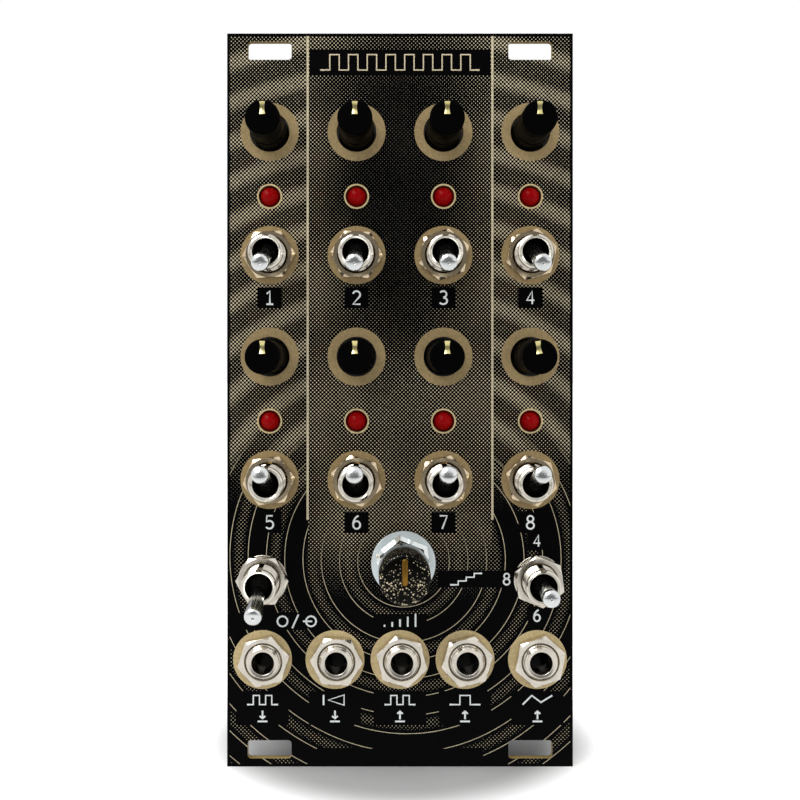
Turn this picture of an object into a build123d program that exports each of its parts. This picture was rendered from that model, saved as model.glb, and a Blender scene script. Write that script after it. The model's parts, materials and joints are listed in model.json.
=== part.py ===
from build123d import *
from math import sqrt
import os

# A rack module: a thin panel that carries pots, switches, lamps and jacks, with two boards behind.
# X runs to the right, Z up, and the panel faces -Y. The origin is the middle of its back face.
# A height called out is measured from that back face towards the viewer, so a board is below zero.

# Panel and its rail slots
panel_width = 60.6
panel_height = 128.5
panel_thickness = 1.6
slot_length = 7.7
slot_width = 3.2
slot_corner = 0.6
slot_inset_x = 7.44
slot_inset_z = 3.0

# Places of the controls on the panel
column_pitch = 15.24
column_count = 4
top_pot_z = 47.0
row_drop = 39.4
lamp_drop = 11.3
switch_drop = 21.6
rate_place = (0.6, -28.6)
mode_switch_place = (-24.0, -31.4)
length_switch_place = (24.2, -31.5)
jack_row_z = -45.5
jack_inner_pitch = 11.4
jack_outer_pitch = 12.7
jack_play_x = 0.3

# Boards
board_gap = 10.0
board_thickness = 1.6
board_spacing = 11.0
board_inset_x = 1.0
board_inset_z = 9.75

# Clearances and the overrun of cuts
running_fit = 0.06
board_hole_fit = 0.15
overrun = 1.0

# Pots: a moulded base, a steel cover folded round it and three terminals
pot_width = 9.8
pot_length = 11.0
pot_sheet = 0.4
pot_leg_width = 4.0
pot_leg_fit = 0.05
step_pot_height = 7.0
step_pot_hole = 7.0
rotor_length = 6.8
rotor_width = 3.0
rotor_thickness = 1.6
rotor_gap = 0.15
rotor_room = 7.6
pot_terminal_pitch = 2.5
pot_terminal_drop = 4.6
terminal_width = 1.0
terminal_thickness = 0.5
terminal_tail = 1.3

# Step knobs: one moulded shaft each, with a pale insert let into its end
knob_reach = 13.2
collar_reach = 4.3
collar_radius = 3.0
collar_bevel = 0.2
cap_radius = 2.9
cap_bevel = 0.2
pointer_width = 1.15
pointer_length = 2.3
pointer_depth = 0.6
pointer_inset = 0.3
pointer_dish = 0.22
step_knob_turns = (0, 0, 0, 0, 0, 0, 0, 8)

# Rate pot: threaded bushing, washer, nut, shaft and push-on knob
rate_bushing_radius = 3.5
rate_bushing_reach = 5.0
rate_bushing_bevel = 0.3
rate_shaft_radius = 3.0
rate_hole = 7.4
rate_washer_radius = 5.65
rate_washer_thickness = 0.5
rate_nut_flats = 9.0
rate_nut_thickness = 2.0
rate_nut_turn = 38
rate_knob_base_reach = 6.3
rate_knob_reach = 16.0
rate_knob_base_radius = 4.4
rate_knob_top_radius = 4.24
rate_knob_bevel = 0.35
rate_knob_crown = 2.6
rate_pointer_width = 0.95
rate_pointer_length = 4.4
rate_pointer_top = 3.4
rate_pointer_depth = 0.6

# Toggle switches
switch_width = 6.8
switch_length = 11.6
frame_sheet = 0.8
frame_leg_sheet = 0.6
frame_leg_width = 4.6
frame_leg_length = 7.4
bushing_radius = 3.0
bushing_reach = 7.9
bushing_bevel = 0.35
bushing_hole = 6.4
keyway_width = 1.0
keyway_depth = 0.35
step_mouth_radius = 2.15
wide_mouth_radius = 2.3
drum_over_mouth = 0.08
drum_thickness = 0.8
socket_gap = 0.08
shoulder_gap = 0.35
pivot_reach = 4.2
trunnion_radius = 0.42
trunnion_reach = 2.75
trunnion_fit = 0.08
lever_length = 13.4
lever_neck_radius = 1.0
lever_tip_radius = 1.45
lever_tip_bevel = 0.35
lever_tail_width = 1.0
lever_tail_length = 4.8
step_lever_tilt = 12.0
mode_lever_tilt = 14.6
switch_nut_flats = 8.0
switch_nut_thickness = 2.0
switch_nut_turns = (3, 57, 20, 17, 7, 43, 15, 43)
mode_nut_turn = 0
length_nut_turn = 38
lock_washer_radius = 4.3
lock_washer_thickness = 0.5
switch_terminal_pitch = 4.7
switch_terminal_width = 1.4
switch_terminal_thickness = 0.8

# Lamps
lamp_hole = 3.85
lamp_radius = 1.5
lamp_reach = 1.2
lamp_height = 5.3
lamp_crown_radius = 0.8
lamp_crown_height = 1.0
lamp_lead_pitch = 2.54
lamp_lead = 0.5

# Jacks
jack_width = 9.0
jack_length = 10.5
jack_axis_above_middle = 0.95
jack_hole = 6.8
jack_bushing_radius = 3.0
jack_reach = 3.0
jack_rim_bevel = 0.25
jack_bore_radius = 1.85
jack_mouth_bevel = 0.3
jack_flange_width = 7.8
jack_flange_thickness = 0.8
jack_cavity_radius = 2.4
jack_channel_width = 2.9
jack_channel_top = 2.0
jack_nut_flats = 8.0
jack_nut_thickness = 2.0
jack_nut_turns = (13, 57, 44, 13, 19)
contact_sheet = 0.3
contact_width = 2.3
contact_fit = 0.15
spring_pin_y = 5.3
spring_top_y = 2.5
spring_bow_y = 0.9
spring_heel_y = 2.2
spring_shoulder_depth = 3.2
spring_bow_depth = 6.4
spring_heel_depth = 8.4
tongue_reach = 0.8
tongue_root = 3.0
tongue_lift = 0.25
ground_strip_width = 1.0

# Links between the boards
connector_pins = 8
pin_pitch = 2.54
pin_square = 0.64
connector_width = 2.5
header_height = 2.5
connector_x = 15.24
connector_z = -28.0
spacer_x = 15.24
spacer_z = 36.0
spacer_flats = 5.5
screw_radius = 1.5
screw_hole_fit = 0.1
screw_head_radius = 2.75
screw_head_height = 2.0
screw_depth = 4.5
screw_recess_width = 0.8
screw_recess_length = 3.2
screw_recess_depth = 1.0

# Power header on the back
header_place = (0.0, 42.0)
header_columns = 5
header_rows = 2
header_length = 20.3
header_breadth = 8.9
header_wall = 1.1
header_floor = 2.4
header_depth = 9.0
header_key_width = 4.5
header_pin_rise = 6.0

# Chips in sockets
chip_pin_counts = (16, 16, 14, 8)
chip_places = ((-14.5, 21.0), (14.5, 21.0), (-14.5, 4.0), (14.5, 4.0))
chip_overhang = 1.3
chip_width = 6.4
chip_height = 3.3
chip_notch_radius = 0.8
chip_notch_depth = 0.4
socket_overhang = 0.2
socket_width = 10.0
socket_height = 4.3
socket_window_width = 5.2
socket_window_inset = 4.0

# Capacitors, resistors and diodes on the back
can_radius = 3.15
can_height = 11.0
can_bevel = 0.5
can_places = ((-20.0, 42.0), (20.0, 42.0), (22.0, -12.0))
disc_cap_length = 4.6
disc_cap_thickness = 2.4
disc_cap_height = 4.6
disc_cap_round = 0.8
disc_cap_places = ((-27.0, 13.0), (27.0, 13.0), (0.0, 12.5), (-27.0, -4.0), (0.0, -4.0), (6.0, -14.0))
lead_square = 0.5
resistor_radius = 1.15
resistor_length = 6.2
resistor_lift = 0.3
resistor_lead_span = 10.16
resistor_rank_x = -8.5
resistor_rank_top = -14.0
resistor_pitch = 4.0
resistor_count = 8
diode_radius = 0.95
diode_length = 3.9
diode_lead_span = 7.62
diode_rank_x = 10.0
diode_rank_top = -22.0
diode_pitch = 4.5
diode_count = 5


def front(place, out=0.0, turn=0.0, tilt=0.0):
    """The plane at a place on the panel, x right, y up and z out, turned there or tipped down."""
    x, z = place
    plane = Plane(origin=(x, -out, z), x_dir=(1, 0, 0), z_dir=(0, -1, 0))
    return plane.rotated((tilt, -turn, 0))


def back(place, out=0.0):
    """The plane at a place on a board's back: its x runs left, its y up and its z away."""
    x, z = place
    return Plane(origin=(x, -out, z), x_dir=(-1, 0, 0), z_dir=(0, 1, 0))


def save(piece, name):
    """Label a finished piece and write its file."""
    piece.part.label = name
    export_step(piece.part, f"parts/{name}.step")


# Places worked out from the panel and the pitches
slot_span_x = panel_width - 2 * slot_inset_x
slot_span_z = panel_height - 2 * slot_inset_z
board_width = panel_width - 2 * board_inset_x
board_height = panel_height - 2 * board_inset_z
first_column = -column_pitch * (column_count - 1) / 2
column_xs = [first_column + column_pitch * number for number in range(column_count)]
row_zs = [top_pot_z, top_pot_z - row_drop]
pot_places = [(x, z) for z in row_zs for x in column_xs]
lamp_places = [(x, z - lamp_drop) for x, z in pot_places]
switch_places = [(x, z - switch_drop) for x, z in pot_places]
jack_outer_x = jack_inner_pitch + jack_outer_pitch
jack_hole_xs = (-jack_outer_x, -jack_inner_pitch, 0, jack_inner_pitch, jack_outer_x)
jack_hole_places = [(x, jack_row_z) for x in jack_hole_xs]
jack_places = [(x + jack_play_x, jack_row_z) for x in jack_hole_xs]
side_switch_places = [mode_switch_place, length_switch_place]
connector_places = [(-connector_x, connector_z), (connector_x, connector_z)]
spacer_places = [(-spacer_x, spacer_z), (spacer_x, spacer_z)]

# Levels worked out from the stack
panel_face = panel_thickness
control_face = -board_gap
control_back = control_face - board_thickness
main_front = control_back - board_spacing
main_back = main_front - board_thickness
step_pot_face = control_face + step_pot_height
pivot_out = panel_face + pivot_reach
tail_length = board_thickness + terminal_tail

os.makedirs("parts", exist_ok=True)


# Front panel

with BuildPart() as front_panel:
    with BuildSketch(front((0, 0))):
        Rectangle(panel_width, panel_height)
        with GridLocations(slot_span_x, slot_span_z, 2, 2):
            RectangleRounded(slot_length, slot_width, slot_corner, mode=Mode.SUBTRACT)
        with Locations(*pot_places):
            Circle(step_pot_hole / 2, mode=Mode.SUBTRACT)
        with Locations(*lamp_places):
            Circle(lamp_hole / 2, mode=Mode.SUBTRACT)
        with Locations(*switch_places, *side_switch_places):
            Circle(bushing_hole / 2, mode=Mode.SUBTRACT)
        with Locations(rate_place):
            Circle(rate_hole / 2, mode=Mode.SUBTRACT)
        with Locations(*jack_hole_places):
            Circle(jack_hole / 2, mode=Mode.SUBTRACT)
    extrude(amount=panel_thickness)
save(front_panel, "front_panel")


# Boards, with a square hole for every terminal that is soldered through

pot_terminal_offsets = [(pot_terminal_pitch * number, -pot_terminal_drop) for number in (-1, 0, 1)]
switch_terminal_offsets = [(0, switch_terminal_pitch * number) for number in (-1, 0, 1)]
lamp_lead_offsets = [(lamp_lead_pitch / 2 * number, 0) for number in (-1, 1)]
connector_offsets = [
    (0, pin_pitch * (number - (connector_pins - 1) / 2)) for number in range(connector_pins)
]
header_offsets = [
    (pin_pitch * (column - (header_columns - 1) / 2), pin_pitch * (row - (header_rows - 1) / 2))
    for row in range(header_rows)
    for column in range(header_columns)
]
ground_y = (jack_flange_width + contact_sheet) / 2
jack_pin_offsets = [(0, -spring_pin_y), (0, tongue_root), (0, ground_y)]


def spread(places, offsets):
    """Every place with every offset added to it."""
    return [(x + dx, z + dz) for x, z in places for dx, dz in offsets]


pot_terminal_places = spread([*pot_places, rate_place], pot_terminal_offsets)
switch_terminal_places = spread([*switch_places, *side_switch_places], switch_terminal_offsets)
lamp_lead_places = spread(lamp_places, lamp_lead_offsets)
connector_pin_places = spread(connector_places, connector_offsets)
header_pin_places = spread([header_place], header_offsets)

with BuildPart() as control_board:
    with BuildSketch(front((0, 0), control_back)):
        Rectangle(board_width, board_height)
        with Locations(*pot_terminal_places):
            Rectangle(
                terminal_width + board_hole_fit,
                terminal_thickness + board_hole_fit,
                mode=Mode.SUBTRACT,
            )
        with Locations(*switch_terminal_places):
            Rectangle(
                switch_terminal_width + board_hole_fit,
                switch_terminal_thickness + board_hole_fit,
                mode=Mode.SUBTRACT,
            )
        with Locations(*lamp_lead_places):
            Rectangle(lamp_lead + board_hole_fit, lamp_lead + board_hole_fit, mode=Mode.SUBTRACT)
        with Locations(*spread(jack_places, jack_pin_offsets)):
            Rectangle(
                ground_strip_width + board_hole_fit,
                contact_sheet + board_hole_fit,
                mode=Mode.SUBTRACT,
            )
        with Locations(*connector_pin_places):
            Rectangle(pin_square + board_hole_fit, pin_square + board_hole_fit, mode=Mode.SUBTRACT)
        with Locations(*spacer_places):
            Circle(screw_radius + screw_hole_fit, mode=Mode.SUBTRACT)
    extrude(amount=board_thickness)
save(control_board, "control_board")

with BuildPart() as main_board:
    with BuildSketch(front((0, 0), main_back)):
        Rectangle(board_width, board_height)
        with Locations(*connector_pin_places, *header_pin_places):
            Rectangle(pin_square + board_hole_fit, pin_square + board_hole_fit, mode=Mode.SUBTRACT)
        with Locations(*spacer_places):
            Circle(screw_radius + screw_hole_fit, mode=Mode.SUBTRACT)
    extrude(amount=board_thickness)
save(main_board, "main_board")


# Pot bases and covers: the step pots are low, the rate pot reaches the panel


def pot_base_form(face):
    """A moulded base from the board up to its cover, with the room that the rotor turns in."""
    top = face - pot_sheet
    with BuildPart() as base:
        with BuildSketch(Plane.XY.offset(control_face)):
            Rectangle(pot_width, pot_length)
        extrude(amount=top - control_face)
        with BuildSketch(Plane.XY.offset(top)):
            Rectangle(rotor_room, rotor_room)
        extrude(amount=-(rotor_thickness + 2 * rotor_gap), mode=Mode.SUBTRACT)
    return base.part


def pot_cover_form(face, hole_radius):
    """A steel cover: a plate over the base, folded down on both sides to two legs on the board."""
    outer = pot_width + 2 * (pot_sheet + pot_leg_fit)
    leg_x = (outer - pot_sheet) / 2
    with BuildPart() as cover:
        with BuildSketch(Plane.XY.offset(face - pot_sheet)):
            Rectangle(outer, pot_length)
            Circle(hole_radius, mode=Mode.SUBTRACT)
        extrude(amount=pot_sheet)
        with BuildSketch(Plane.XY.offset(face - pot_sheet)):
            with Locations((-leg_x, 0), (leg_x, 0)):
                Rectangle(pot_sheet, pot_leg_width)
        extrude(amount=control_face - face + pot_sheet)
    return cover.part


step_base = pot_base_form(step_pot_face)
rate_base = pot_base_form(0)
step_cover = pot_cover_form(step_pot_face, collar_radius + running_fit)
rate_cover = pot_cover_form(0, rate_bushing_radius)

with BuildPart() as pot_bases:
    with Locations(*[front(place) for place in pot_places]):
        add(step_base)
    with Locations(front(rate_place)):
        add(rate_base)
save(pot_bases, "pot_bases")

with BuildPart() as pot_covers:
    with Locations(*[front(place) for place in pot_places]):
        add(step_cover)
    with Locations(front(rate_place)):
        add(rate_cover)
save(pot_covers, "pot_covers")

with BuildPart() as pot_terminals:
    with BuildSketch(front((0, 0), control_face)):
        with Locations(*pot_terminal_places):
            Rectangle(terminal_width, terminal_thickness)
    extrude(amount=-tail_length)
save(pot_terminals, "pot_terminals")


# Step knobs: rotor bar, collar and cap in one piece, and the insert in its recess

knob_top = panel_face + knob_reach
collar_top = panel_face + collar_reach
step_rotor_top = step_pot_face - pot_sheet - rotor_gap
pointer_middle = cap_radius - pointer_inset - pointer_length / 2

with BuildPart() as step_knob_form:
    with BuildSketch(Plane.XZ):
        with BuildLine():
            Polyline(
                (0, step_rotor_top),
                (collar_radius, step_rotor_top),
                (collar_radius, collar_top - collar_bevel),
                (cap_radius, collar_top),
                (cap_radius, knob_top),
                (0, knob_top),
                close=True,
            )
        make_face()
    revolve(axis=Axis.Z)
    chamfer(step_knob_form.edges().group_by(Axis.Z)[-1], cap_bevel)
    with BuildSketch(Plane.XY.offset(step_rotor_top)):
        Rectangle(rotor_length, rotor_width)
    extrude(amount=-rotor_thickness)
    with BuildSketch(Plane.XY.offset(knob_top)):
        with Locations((0, pointer_middle)):
            Rectangle(pointer_width, pointer_length)
    extrude(amount=-pointer_depth, mode=Mode.SUBTRACT)

with BuildPart() as step_pointer_form:
    with BuildSketch(Plane.XY.offset(knob_top - pointer_depth)):
        with Locations((0, pointer_middle)):
            Rectangle(pointer_width, pointer_length)
    extrude(amount=pointer_depth)
    dish_radius = ((pointer_length / 2) ** 2 + pointer_dish**2) / (2 * pointer_dish)
    with BuildSketch(Plane.YZ.offset(-pointer_width)):
        with Locations((pointer_middle, knob_top + dish_radius - pointer_dish)):
            Circle(dish_radius)
    extrude(amount=2 * pointer_width, mode=Mode.SUBTRACT)

for number, (place, turn) in enumerate(zip(pot_places, step_knob_turns), start=1):
    with BuildPart() as step_knob:
        with Locations(front(place, turn=turn)):
            add(step_knob_form.part)
    save(step_knob, f"step_knob_{number}")
    with BuildPart() as step_pointer:
        with Locations(front(place, turn=turn)):
            add(step_pointer_form.part)
    save(step_pointer, f"step_pointer_{number}")


# Rate pot: bushing, washer, nut, shaft, knob and pointer


def hex_nut_form(across_flats, thickness, bore_radius, base):
    """A hexagon nut standing on its base level."""
    with BuildPart() as nut:
        with BuildSketch(Plane.XY.offset(base)):
            RegularPolygon(across_flats / 2, 6, major_radius=False)
            Circle(bore_radius, mode=Mode.SUBTRACT)
        extrude(amount=thickness)
    return nut.part


rate_washer_top = panel_face + rate_washer_thickness
rate_bushing_top = panel_face + rate_bushing_reach
rate_knob_base = panel_face + rate_knob_base_reach
rate_knob_top = panel_face + rate_knob_reach
rate_shaft_top = rate_knob_top - rate_knob_crown
rate_rotor_top = -pot_sheet - rotor_gap
rate_pointer_middle = rate_pointer_top - rate_pointer_length / 2

with BuildPart() as rate_pot_bushing:
    with BuildSketch(front(rate_place, -pot_sheet)):
        Circle(rate_bushing_radius)
        Circle(rate_shaft_radius + running_fit, mode=Mode.SUBTRACT)
    extrude(amount=pot_sheet + rate_bushing_top)
    rim_edges = rate_pot_bushing.edges().group_by(Axis.Y)[0].sort_by(SortBy.LENGTH)
    chamfer(rim_edges[-1], rate_bushing_bevel)
save(rate_pot_bushing, "rate_pot_bushing")

rate_nut_form = hex_nut_form(
    rate_nut_flats, rate_nut_thickness, rate_bushing_radius + running_fit, rate_washer_top
)
with BuildPart() as rate_pot_nut:
    with Locations(front(rate_place, turn=rate_nut_turn)):
        add(rate_nut_form)
save(rate_pot_nut, "rate_pot_nut")

with BuildPart() as rate_shaft:
    with BuildSketch(front(rate_place, rate_rotor_top - rotor_thickness)):
        Rectangle(rotor_length, rotor_width)
    extrude(amount=rotor_thickness)
    with BuildSketch(front(rate_place, rate_rotor_top)):
        Circle(rate_shaft_radius)
    extrude(amount=rate_shaft_top - rate_rotor_top)
save(rate_shaft, "rate_shaft")

with BuildPart() as rate_knob_form:
    with BuildSketch(Plane.XZ):
        with BuildLine():
            Polyline(
                (rate_shaft_radius, rate_knob_base),
                (rate_knob_base_radius, rate_knob_base),
                (rate_knob_top_radius, rate_knob_top),
                (0, rate_knob_top),
                (0, rate_shaft_top),
                (rate_shaft_radius, rate_shaft_top),
                close=True,
            )
        make_face()
    revolve(axis=Axis.Z)
    chamfer(rate_knob_form.edges().group_by(Axis.Z)[-1], rate_knob_bevel)
    with BuildSketch(Plane.XY.offset(rate_knob_top)):
        with Locations((0, rate_pointer_middle)):
            Rectangle(rate_pointer_width, rate_pointer_length)
    extrude(amount=-rate_pointer_depth, mode=Mode.SUBTRACT)

with BuildPart() as rate_knob:
    with Locations(front(rate_place)):
        add(rate_knob_form.part)
save(rate_knob, "rate_knob")

with BuildPart() as rate_pointer:
    with BuildSketch(front(rate_place, rate_knob_top - rate_pointer_depth)):
        with Locations((0, rate_pointer_middle)):
            Rectangle(rate_pointer_width, rate_pointer_length)
    extrude(amount=rate_pointer_depth)
save(rate_pointer, "rate_pointer")


# Toggle switches: case, folded frame, threaded bushing with its keyway, nut and terminals

bushing_top = panel_face + bushing_reach


def bushing_form(mouth_radius):
    """A bushing with a mouth, a wider socket behind it, a keyway on top and two trunnion slots."""
    socket_radius = mouth_radius + drum_over_mouth + socket_gap
    shoulder = pivot_out + drum_thickness / 2 + shoulder_gap
    slot = 2 * (trunnion_radius + trunnion_fit)
    with BuildPart() as bushing:
        with BuildSketch(Plane.XZ):
            with BuildLine():
                Polyline(
                    (socket_radius, -frame_sheet),
                    (bushing_radius, -frame_sheet),
                    (bushing_radius, bushing_top - bushing_bevel),
                    (bushing_radius - bushing_bevel, bushing_top),
                    (mouth_radius, bushing_top),
                    (mouth_radius, shoulder),
                    (socket_radius, shoulder),
                    close=True,
                )
            make_face()
        revolve(axis=Axis.Z)
        with BuildSketch(Plane.XY):
            with Locations((0, bushing_radius)):
                Rectangle(keyway_width, 2 * keyway_depth)
        extrude(amount=bushing_top + overrun, mode=Mode.SUBTRACT)
        with BuildSketch(Plane.XY.offset(-frame_sheet)):
            Rectangle(2 * (trunnion_reach + trunnion_fit), slot)
        extrude(amount=pivot_out + slot / 2 + frame_sheet, mode=Mode.SUBTRACT)
    return bushing.part


def lever_form(mouth_radius):
    """A lever about its pivot: tail, drum with two trunnions, and a bat that swells to its tip."""
    drum_radius = mouth_radius + drum_over_mouth
    drum_top = drum_thickness / 2
    with BuildPart() as lever:
        with BuildSketch(Plane.XZ):
            with BuildLine():
                Polyline(
                    (0, -drum_top),
                    (drum_radius, -drum_top),
                    (drum_radius, drum_top),
                    (lever_neck_radius, drum_top),
                    (lever_tip_radius, lever_length - lever_tip_bevel),
                    (lever_tip_radius - lever_tip_bevel, lever_length),
                    (0, lever_length),
                    close=True,
                )
            make_face()
        revolve(axis=Axis.Z)
        with BuildSketch(Plane.XY):
            Rectangle(lever_tail_width, lever_tail_width)
        extrude(amount=-lever_tail_length)
        with BuildSketch(Plane.YZ.offset(-trunnion_reach)):
            Circle(trunnion_radius)
        extrude(amount=2 * trunnion_reach)
    return lever.part


step_bushing = bushing_form(step_mouth_radius)
wide_bushing = bushing_form(wide_mouth_radius)
step_lever = lever_form(step_mouth_radius)
wide_lever = lever_form(wide_mouth_radius)
all_switch_places = [*switch_places, *side_switch_places]

with BuildPart() as switch_case_form:
    with BuildSketch(Plane.XY.offset(control_face)):
        Rectangle(switch_width, switch_length)
    extrude(amount=-control_face - frame_sheet)

with BuildPart() as switch_frame_form:
    leg_y = (switch_length + frame_leg_sheet) / 2
    with BuildSketch(Plane.XY.offset(-frame_sheet)):
        Rectangle(switch_width, switch_length + 2 * frame_leg_sheet)
        Circle(bushing_radius, mode=Mode.SUBTRACT)
    extrude(amount=frame_sheet)
    with BuildSketch(Plane.XY.offset(-frame_sheet)):
        with Locations((0, -leg_y), (0, leg_y)):
            Rectangle(frame_leg_width, frame_leg_sheet)
    extrude(amount=-frame_leg_length)

with BuildPart() as switch_cases:
    with Locations(*[front(place) for place in all_switch_places]):
        add(switch_case_form.part)
save(switch_cases, "switch_cases")

with BuildPart() as switch_frames:
    with Locations(*[front(place) for place in all_switch_places]):
        add(switch_frame_form.part)
save(switch_frames, "switch_frames")

with BuildPart() as switch_bushings:
    with Locations(*[front(place) for place in switch_places]):
        add(step_bushing)
    with Locations(*[front(place) for place in side_switch_places]):
        add(wide_bushing)
save(switch_bushings, "switch_bushings")

with BuildPart() as switch_terminals:
    with BuildSketch(front((0, 0), control_face)):
        with Locations(*switch_terminal_places):
            Rectangle(switch_terminal_width, switch_terminal_thickness)
    extrude(amount=-tail_length)
save(switch_terminals, "switch_terminals")

lock_washer_top = panel_face + lock_washer_thickness
nut_bore = bushing_radius + running_fit
step_nut = hex_nut_form(switch_nut_flats, switch_nut_thickness, nut_bore, panel_face)
side_nut = hex_nut_form(switch_nut_flats, switch_nut_thickness, nut_bore, lock_washer_top)
with BuildPart() as switch_nuts:
    with Locations(*[front(p, turn=turn) for p, turn in zip(switch_places, switch_nut_turns)]):
        add(step_nut)
    with Locations(
        front(mode_switch_place, turn=mode_nut_turn),
        front(length_switch_place, turn=length_nut_turn),
    ):
        add(side_nut)
save(switch_nuts, "switch_nuts")

with BuildPart() as panel_washers:
    with BuildSketch(front((0, 0), panel_face)):
        with Locations(*side_switch_places):
            Circle(lock_washer_radius)
            Circle(nut_bore, mode=Mode.SUBTRACT)
    extrude(amount=lock_washer_thickness)
    with BuildSketch(front(rate_place, panel_face)):
        Circle(rate_washer_radius)
        Circle(rate_bushing_radius + running_fit, mode=Mode.SUBTRACT)
    extrude(amount=rate_washer_thickness)
save(panel_washers, "panel_washers")

for number, place in enumerate(switch_places, start=1):
    tilt = step_lever_tilt if number <= column_count else -step_lever_tilt
    with BuildPart() as switch_lever:
        with Locations(front(place, pivot_out, tilt=tilt)):
            add(step_lever)
    save(switch_lever, f"step_lever_{number}")

with BuildPart() as mode_lever:
    with Locations(front(mode_switch_place, pivot_out, tilt=mode_lever_tilt)):
        add(wide_lever)
save(mode_lever, "mode_lever")

with BuildPart() as length_lever:
    with Locations(front(length_switch_place, pivot_out)):
        add(wide_lever)
save(length_lever, "length_lever")


# Lamps, standing on their leads in their own holes

lamp_top = panel_face + lamp_reach
lamp_foot = lamp_top - lamp_height

with BuildPart() as lamp_form:
    with BuildSketch(Plane.XZ):
        with BuildLine():
            Polyline(
                (0, lamp_top),
                (0, lamp_foot),
                (lamp_radius, lamp_foot),
                (lamp_radius, lamp_top - lamp_crown_height),
                (lamp_crown_radius, lamp_top),
                close=True,
            )
        make_face()
    revolve(axis=Axis.Z)

with BuildPart() as step_lamps:
    with Locations(*[front(place) for place in lamp_places]):
        add(lamp_form.part)
save(step_lamps, "step_lamps")

with BuildPart() as lamp_leads:
    with BuildSketch(front((0, 0), lamp_foot)):
        with Locations(*lamp_lead_places):
            Rectangle(lamp_lead, lamp_lead)
    extrude(amount=control_face - lamp_foot - tail_length)
save(lamp_leads, "lamp_leads")


# Jacks: housing, threaded bushing with a rounded lip, nut and sprung contacts

jack_top = panel_face + jack_reach
cavity_top = -jack_flange_thickness
housing_middle = -jack_axis_above_middle
housing_low = housing_middle - jack_length / 2
housing_high = housing_middle + jack_length / 2
tongue_top = control_face + tongue_lift + contact_sheet

with BuildPart() as jack_housing_form:
    with BuildSketch(Plane.XY.offset(control_face)):
        with Locations((0, housing_middle)):
            Rectangle(jack_width, jack_length)
        Circle(jack_cavity_radius, mode=Mode.SUBTRACT)
    extrude(amount=board_gap)
    with BuildSketch(Plane.XY):
        Rectangle(jack_flange_width, jack_flange_width)
    extrude(amount=cavity_top, mode=Mode.SUBTRACT)
    with BuildSketch(Plane.XY.offset(control_face)):
        with Locations((0, housing_low)):
            Rectangle(jack_channel_width, -2 * housing_low)
    extrude(amount=-control_face - jack_channel_top, mode=Mode.SUBTRACT)
    with BuildSketch(Plane.XY.offset(control_face)):
        with Locations((0, tongue_root / 2 + contact_fit)):
            Rectangle(contact_width + 2 * contact_fit, tongue_root + contact_sheet)
    extrude(amount=tongue_top - control_face + contact_fit, mode=Mode.SUBTRACT)
    with BuildSketch(Plane.XY.offset(control_face)):
        with Locations((0, (jack_flange_width / 2 + housing_high) / 2)):
            Rectangle(ground_strip_width + 2 * contact_fit, housing_high - jack_flange_width / 2)
    extrude(amount=board_gap, mode=Mode.SUBTRACT)

with BuildPart() as jack_bushing_form:
    with BuildSketch(Plane.XY.offset(cavity_top)):
        Rectangle(jack_flange_width, jack_flange_width)
        Circle(jack_bore_radius, mode=Mode.SUBTRACT)
    extrude(amount=jack_flange_thickness)
    with BuildSketch():
        Circle(jack_bushing_radius)
        Circle(jack_bore_radius, mode=Mode.SUBTRACT)
    extrude(amount=jack_top)
    rims = jack_bushing_form.edges().group_by(Axis.Z)[-1].sort_by(SortBy.LENGTH)
    chamfer(rims[-1], jack_rim_bevel)
    chamfer(rims[0], jack_mouth_bevel)

with BuildPart() as jack_contact_form:
    with BuildSketch(Plane.YZ) as spring_side:
        with BuildLine() as spring_line:
            Polyline(
                (-spring_pin_y, control_face - tail_length),
                (-spring_pin_y, -spring_shoulder_depth),
                (-spring_top_y, -spring_shoulder_depth + contact_sheet),
                (-spring_bow_y, -spring_bow_depth),
                (-spring_heel_y, -spring_heel_depth),
            )
        trace(line_width=contact_sheet)
    extrude(amount=contact_width / 2, both=True)
    with BuildSketch(Plane.XY.offset(control_face)):
        with Locations((0, -spring_pin_y)):
            Rectangle(contact_width, contact_sheet)
            Rectangle(ground_strip_width, contact_sheet, mode=Mode.SUBTRACT)
    extrude(amount=-tail_length, mode=Mode.SUBTRACT)
    with BuildSketch(Plane.XY.offset(control_face - tail_length)):
        with Locations((0, tongue_root)):
            Rectangle(ground_strip_width, contact_sheet)
    extrude(amount=tail_length + tongue_lift)
    with BuildSketch(Plane.XY.offset(control_face + tongue_lift)):
        with Locations((0, (tongue_root + contact_sheet / 2 - tongue_reach) / 2)):
            Rectangle(contact_width, tongue_root + contact_sheet / 2 + tongue_reach)
    extrude(amount=contact_sheet)
    with BuildSketch(Plane.XY.offset(control_face - tail_length)):
        with Locations((0, ground_y)):
            Rectangle(ground_strip_width, contact_sheet)
    extrude(amount=tail_length + board_gap)

jack_nut_form = hex_nut_form(
    jack_nut_flats, jack_nut_thickness, jack_bushing_radius + running_fit, panel_face
)

with BuildPart() as jack_housings:
    with Locations(*[front(place) for place in jack_places]):
        add(jack_housing_form.part)
save(jack_housings, "jack_housings")

with BuildPart() as jack_bushings:
    with Locations(*[front(place) for place in jack_places]):
        add(jack_bushing_form.part)
save(jack_bushings, "jack_bushings")

with BuildPart() as jack_nuts:
    with Locations(*[front(p, turn=turn) for p, turn in zip(jack_places, jack_nut_turns)]):
        add(jack_nut_form)
save(jack_nuts, "jack_nuts")

with BuildPart() as jack_contacts:
    with Locations(*[front(place) for place in jack_places]):
        add(jack_contact_form.part)
save(jack_contacts, "jack_contacts")


# Links between the boards: pin strips and sockets, spacers and screws

connector_length = pin_pitch * connector_pins
socket_depth = board_spacing - header_height
pin_low = control_back - header_height - socket_depth / 2

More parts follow.
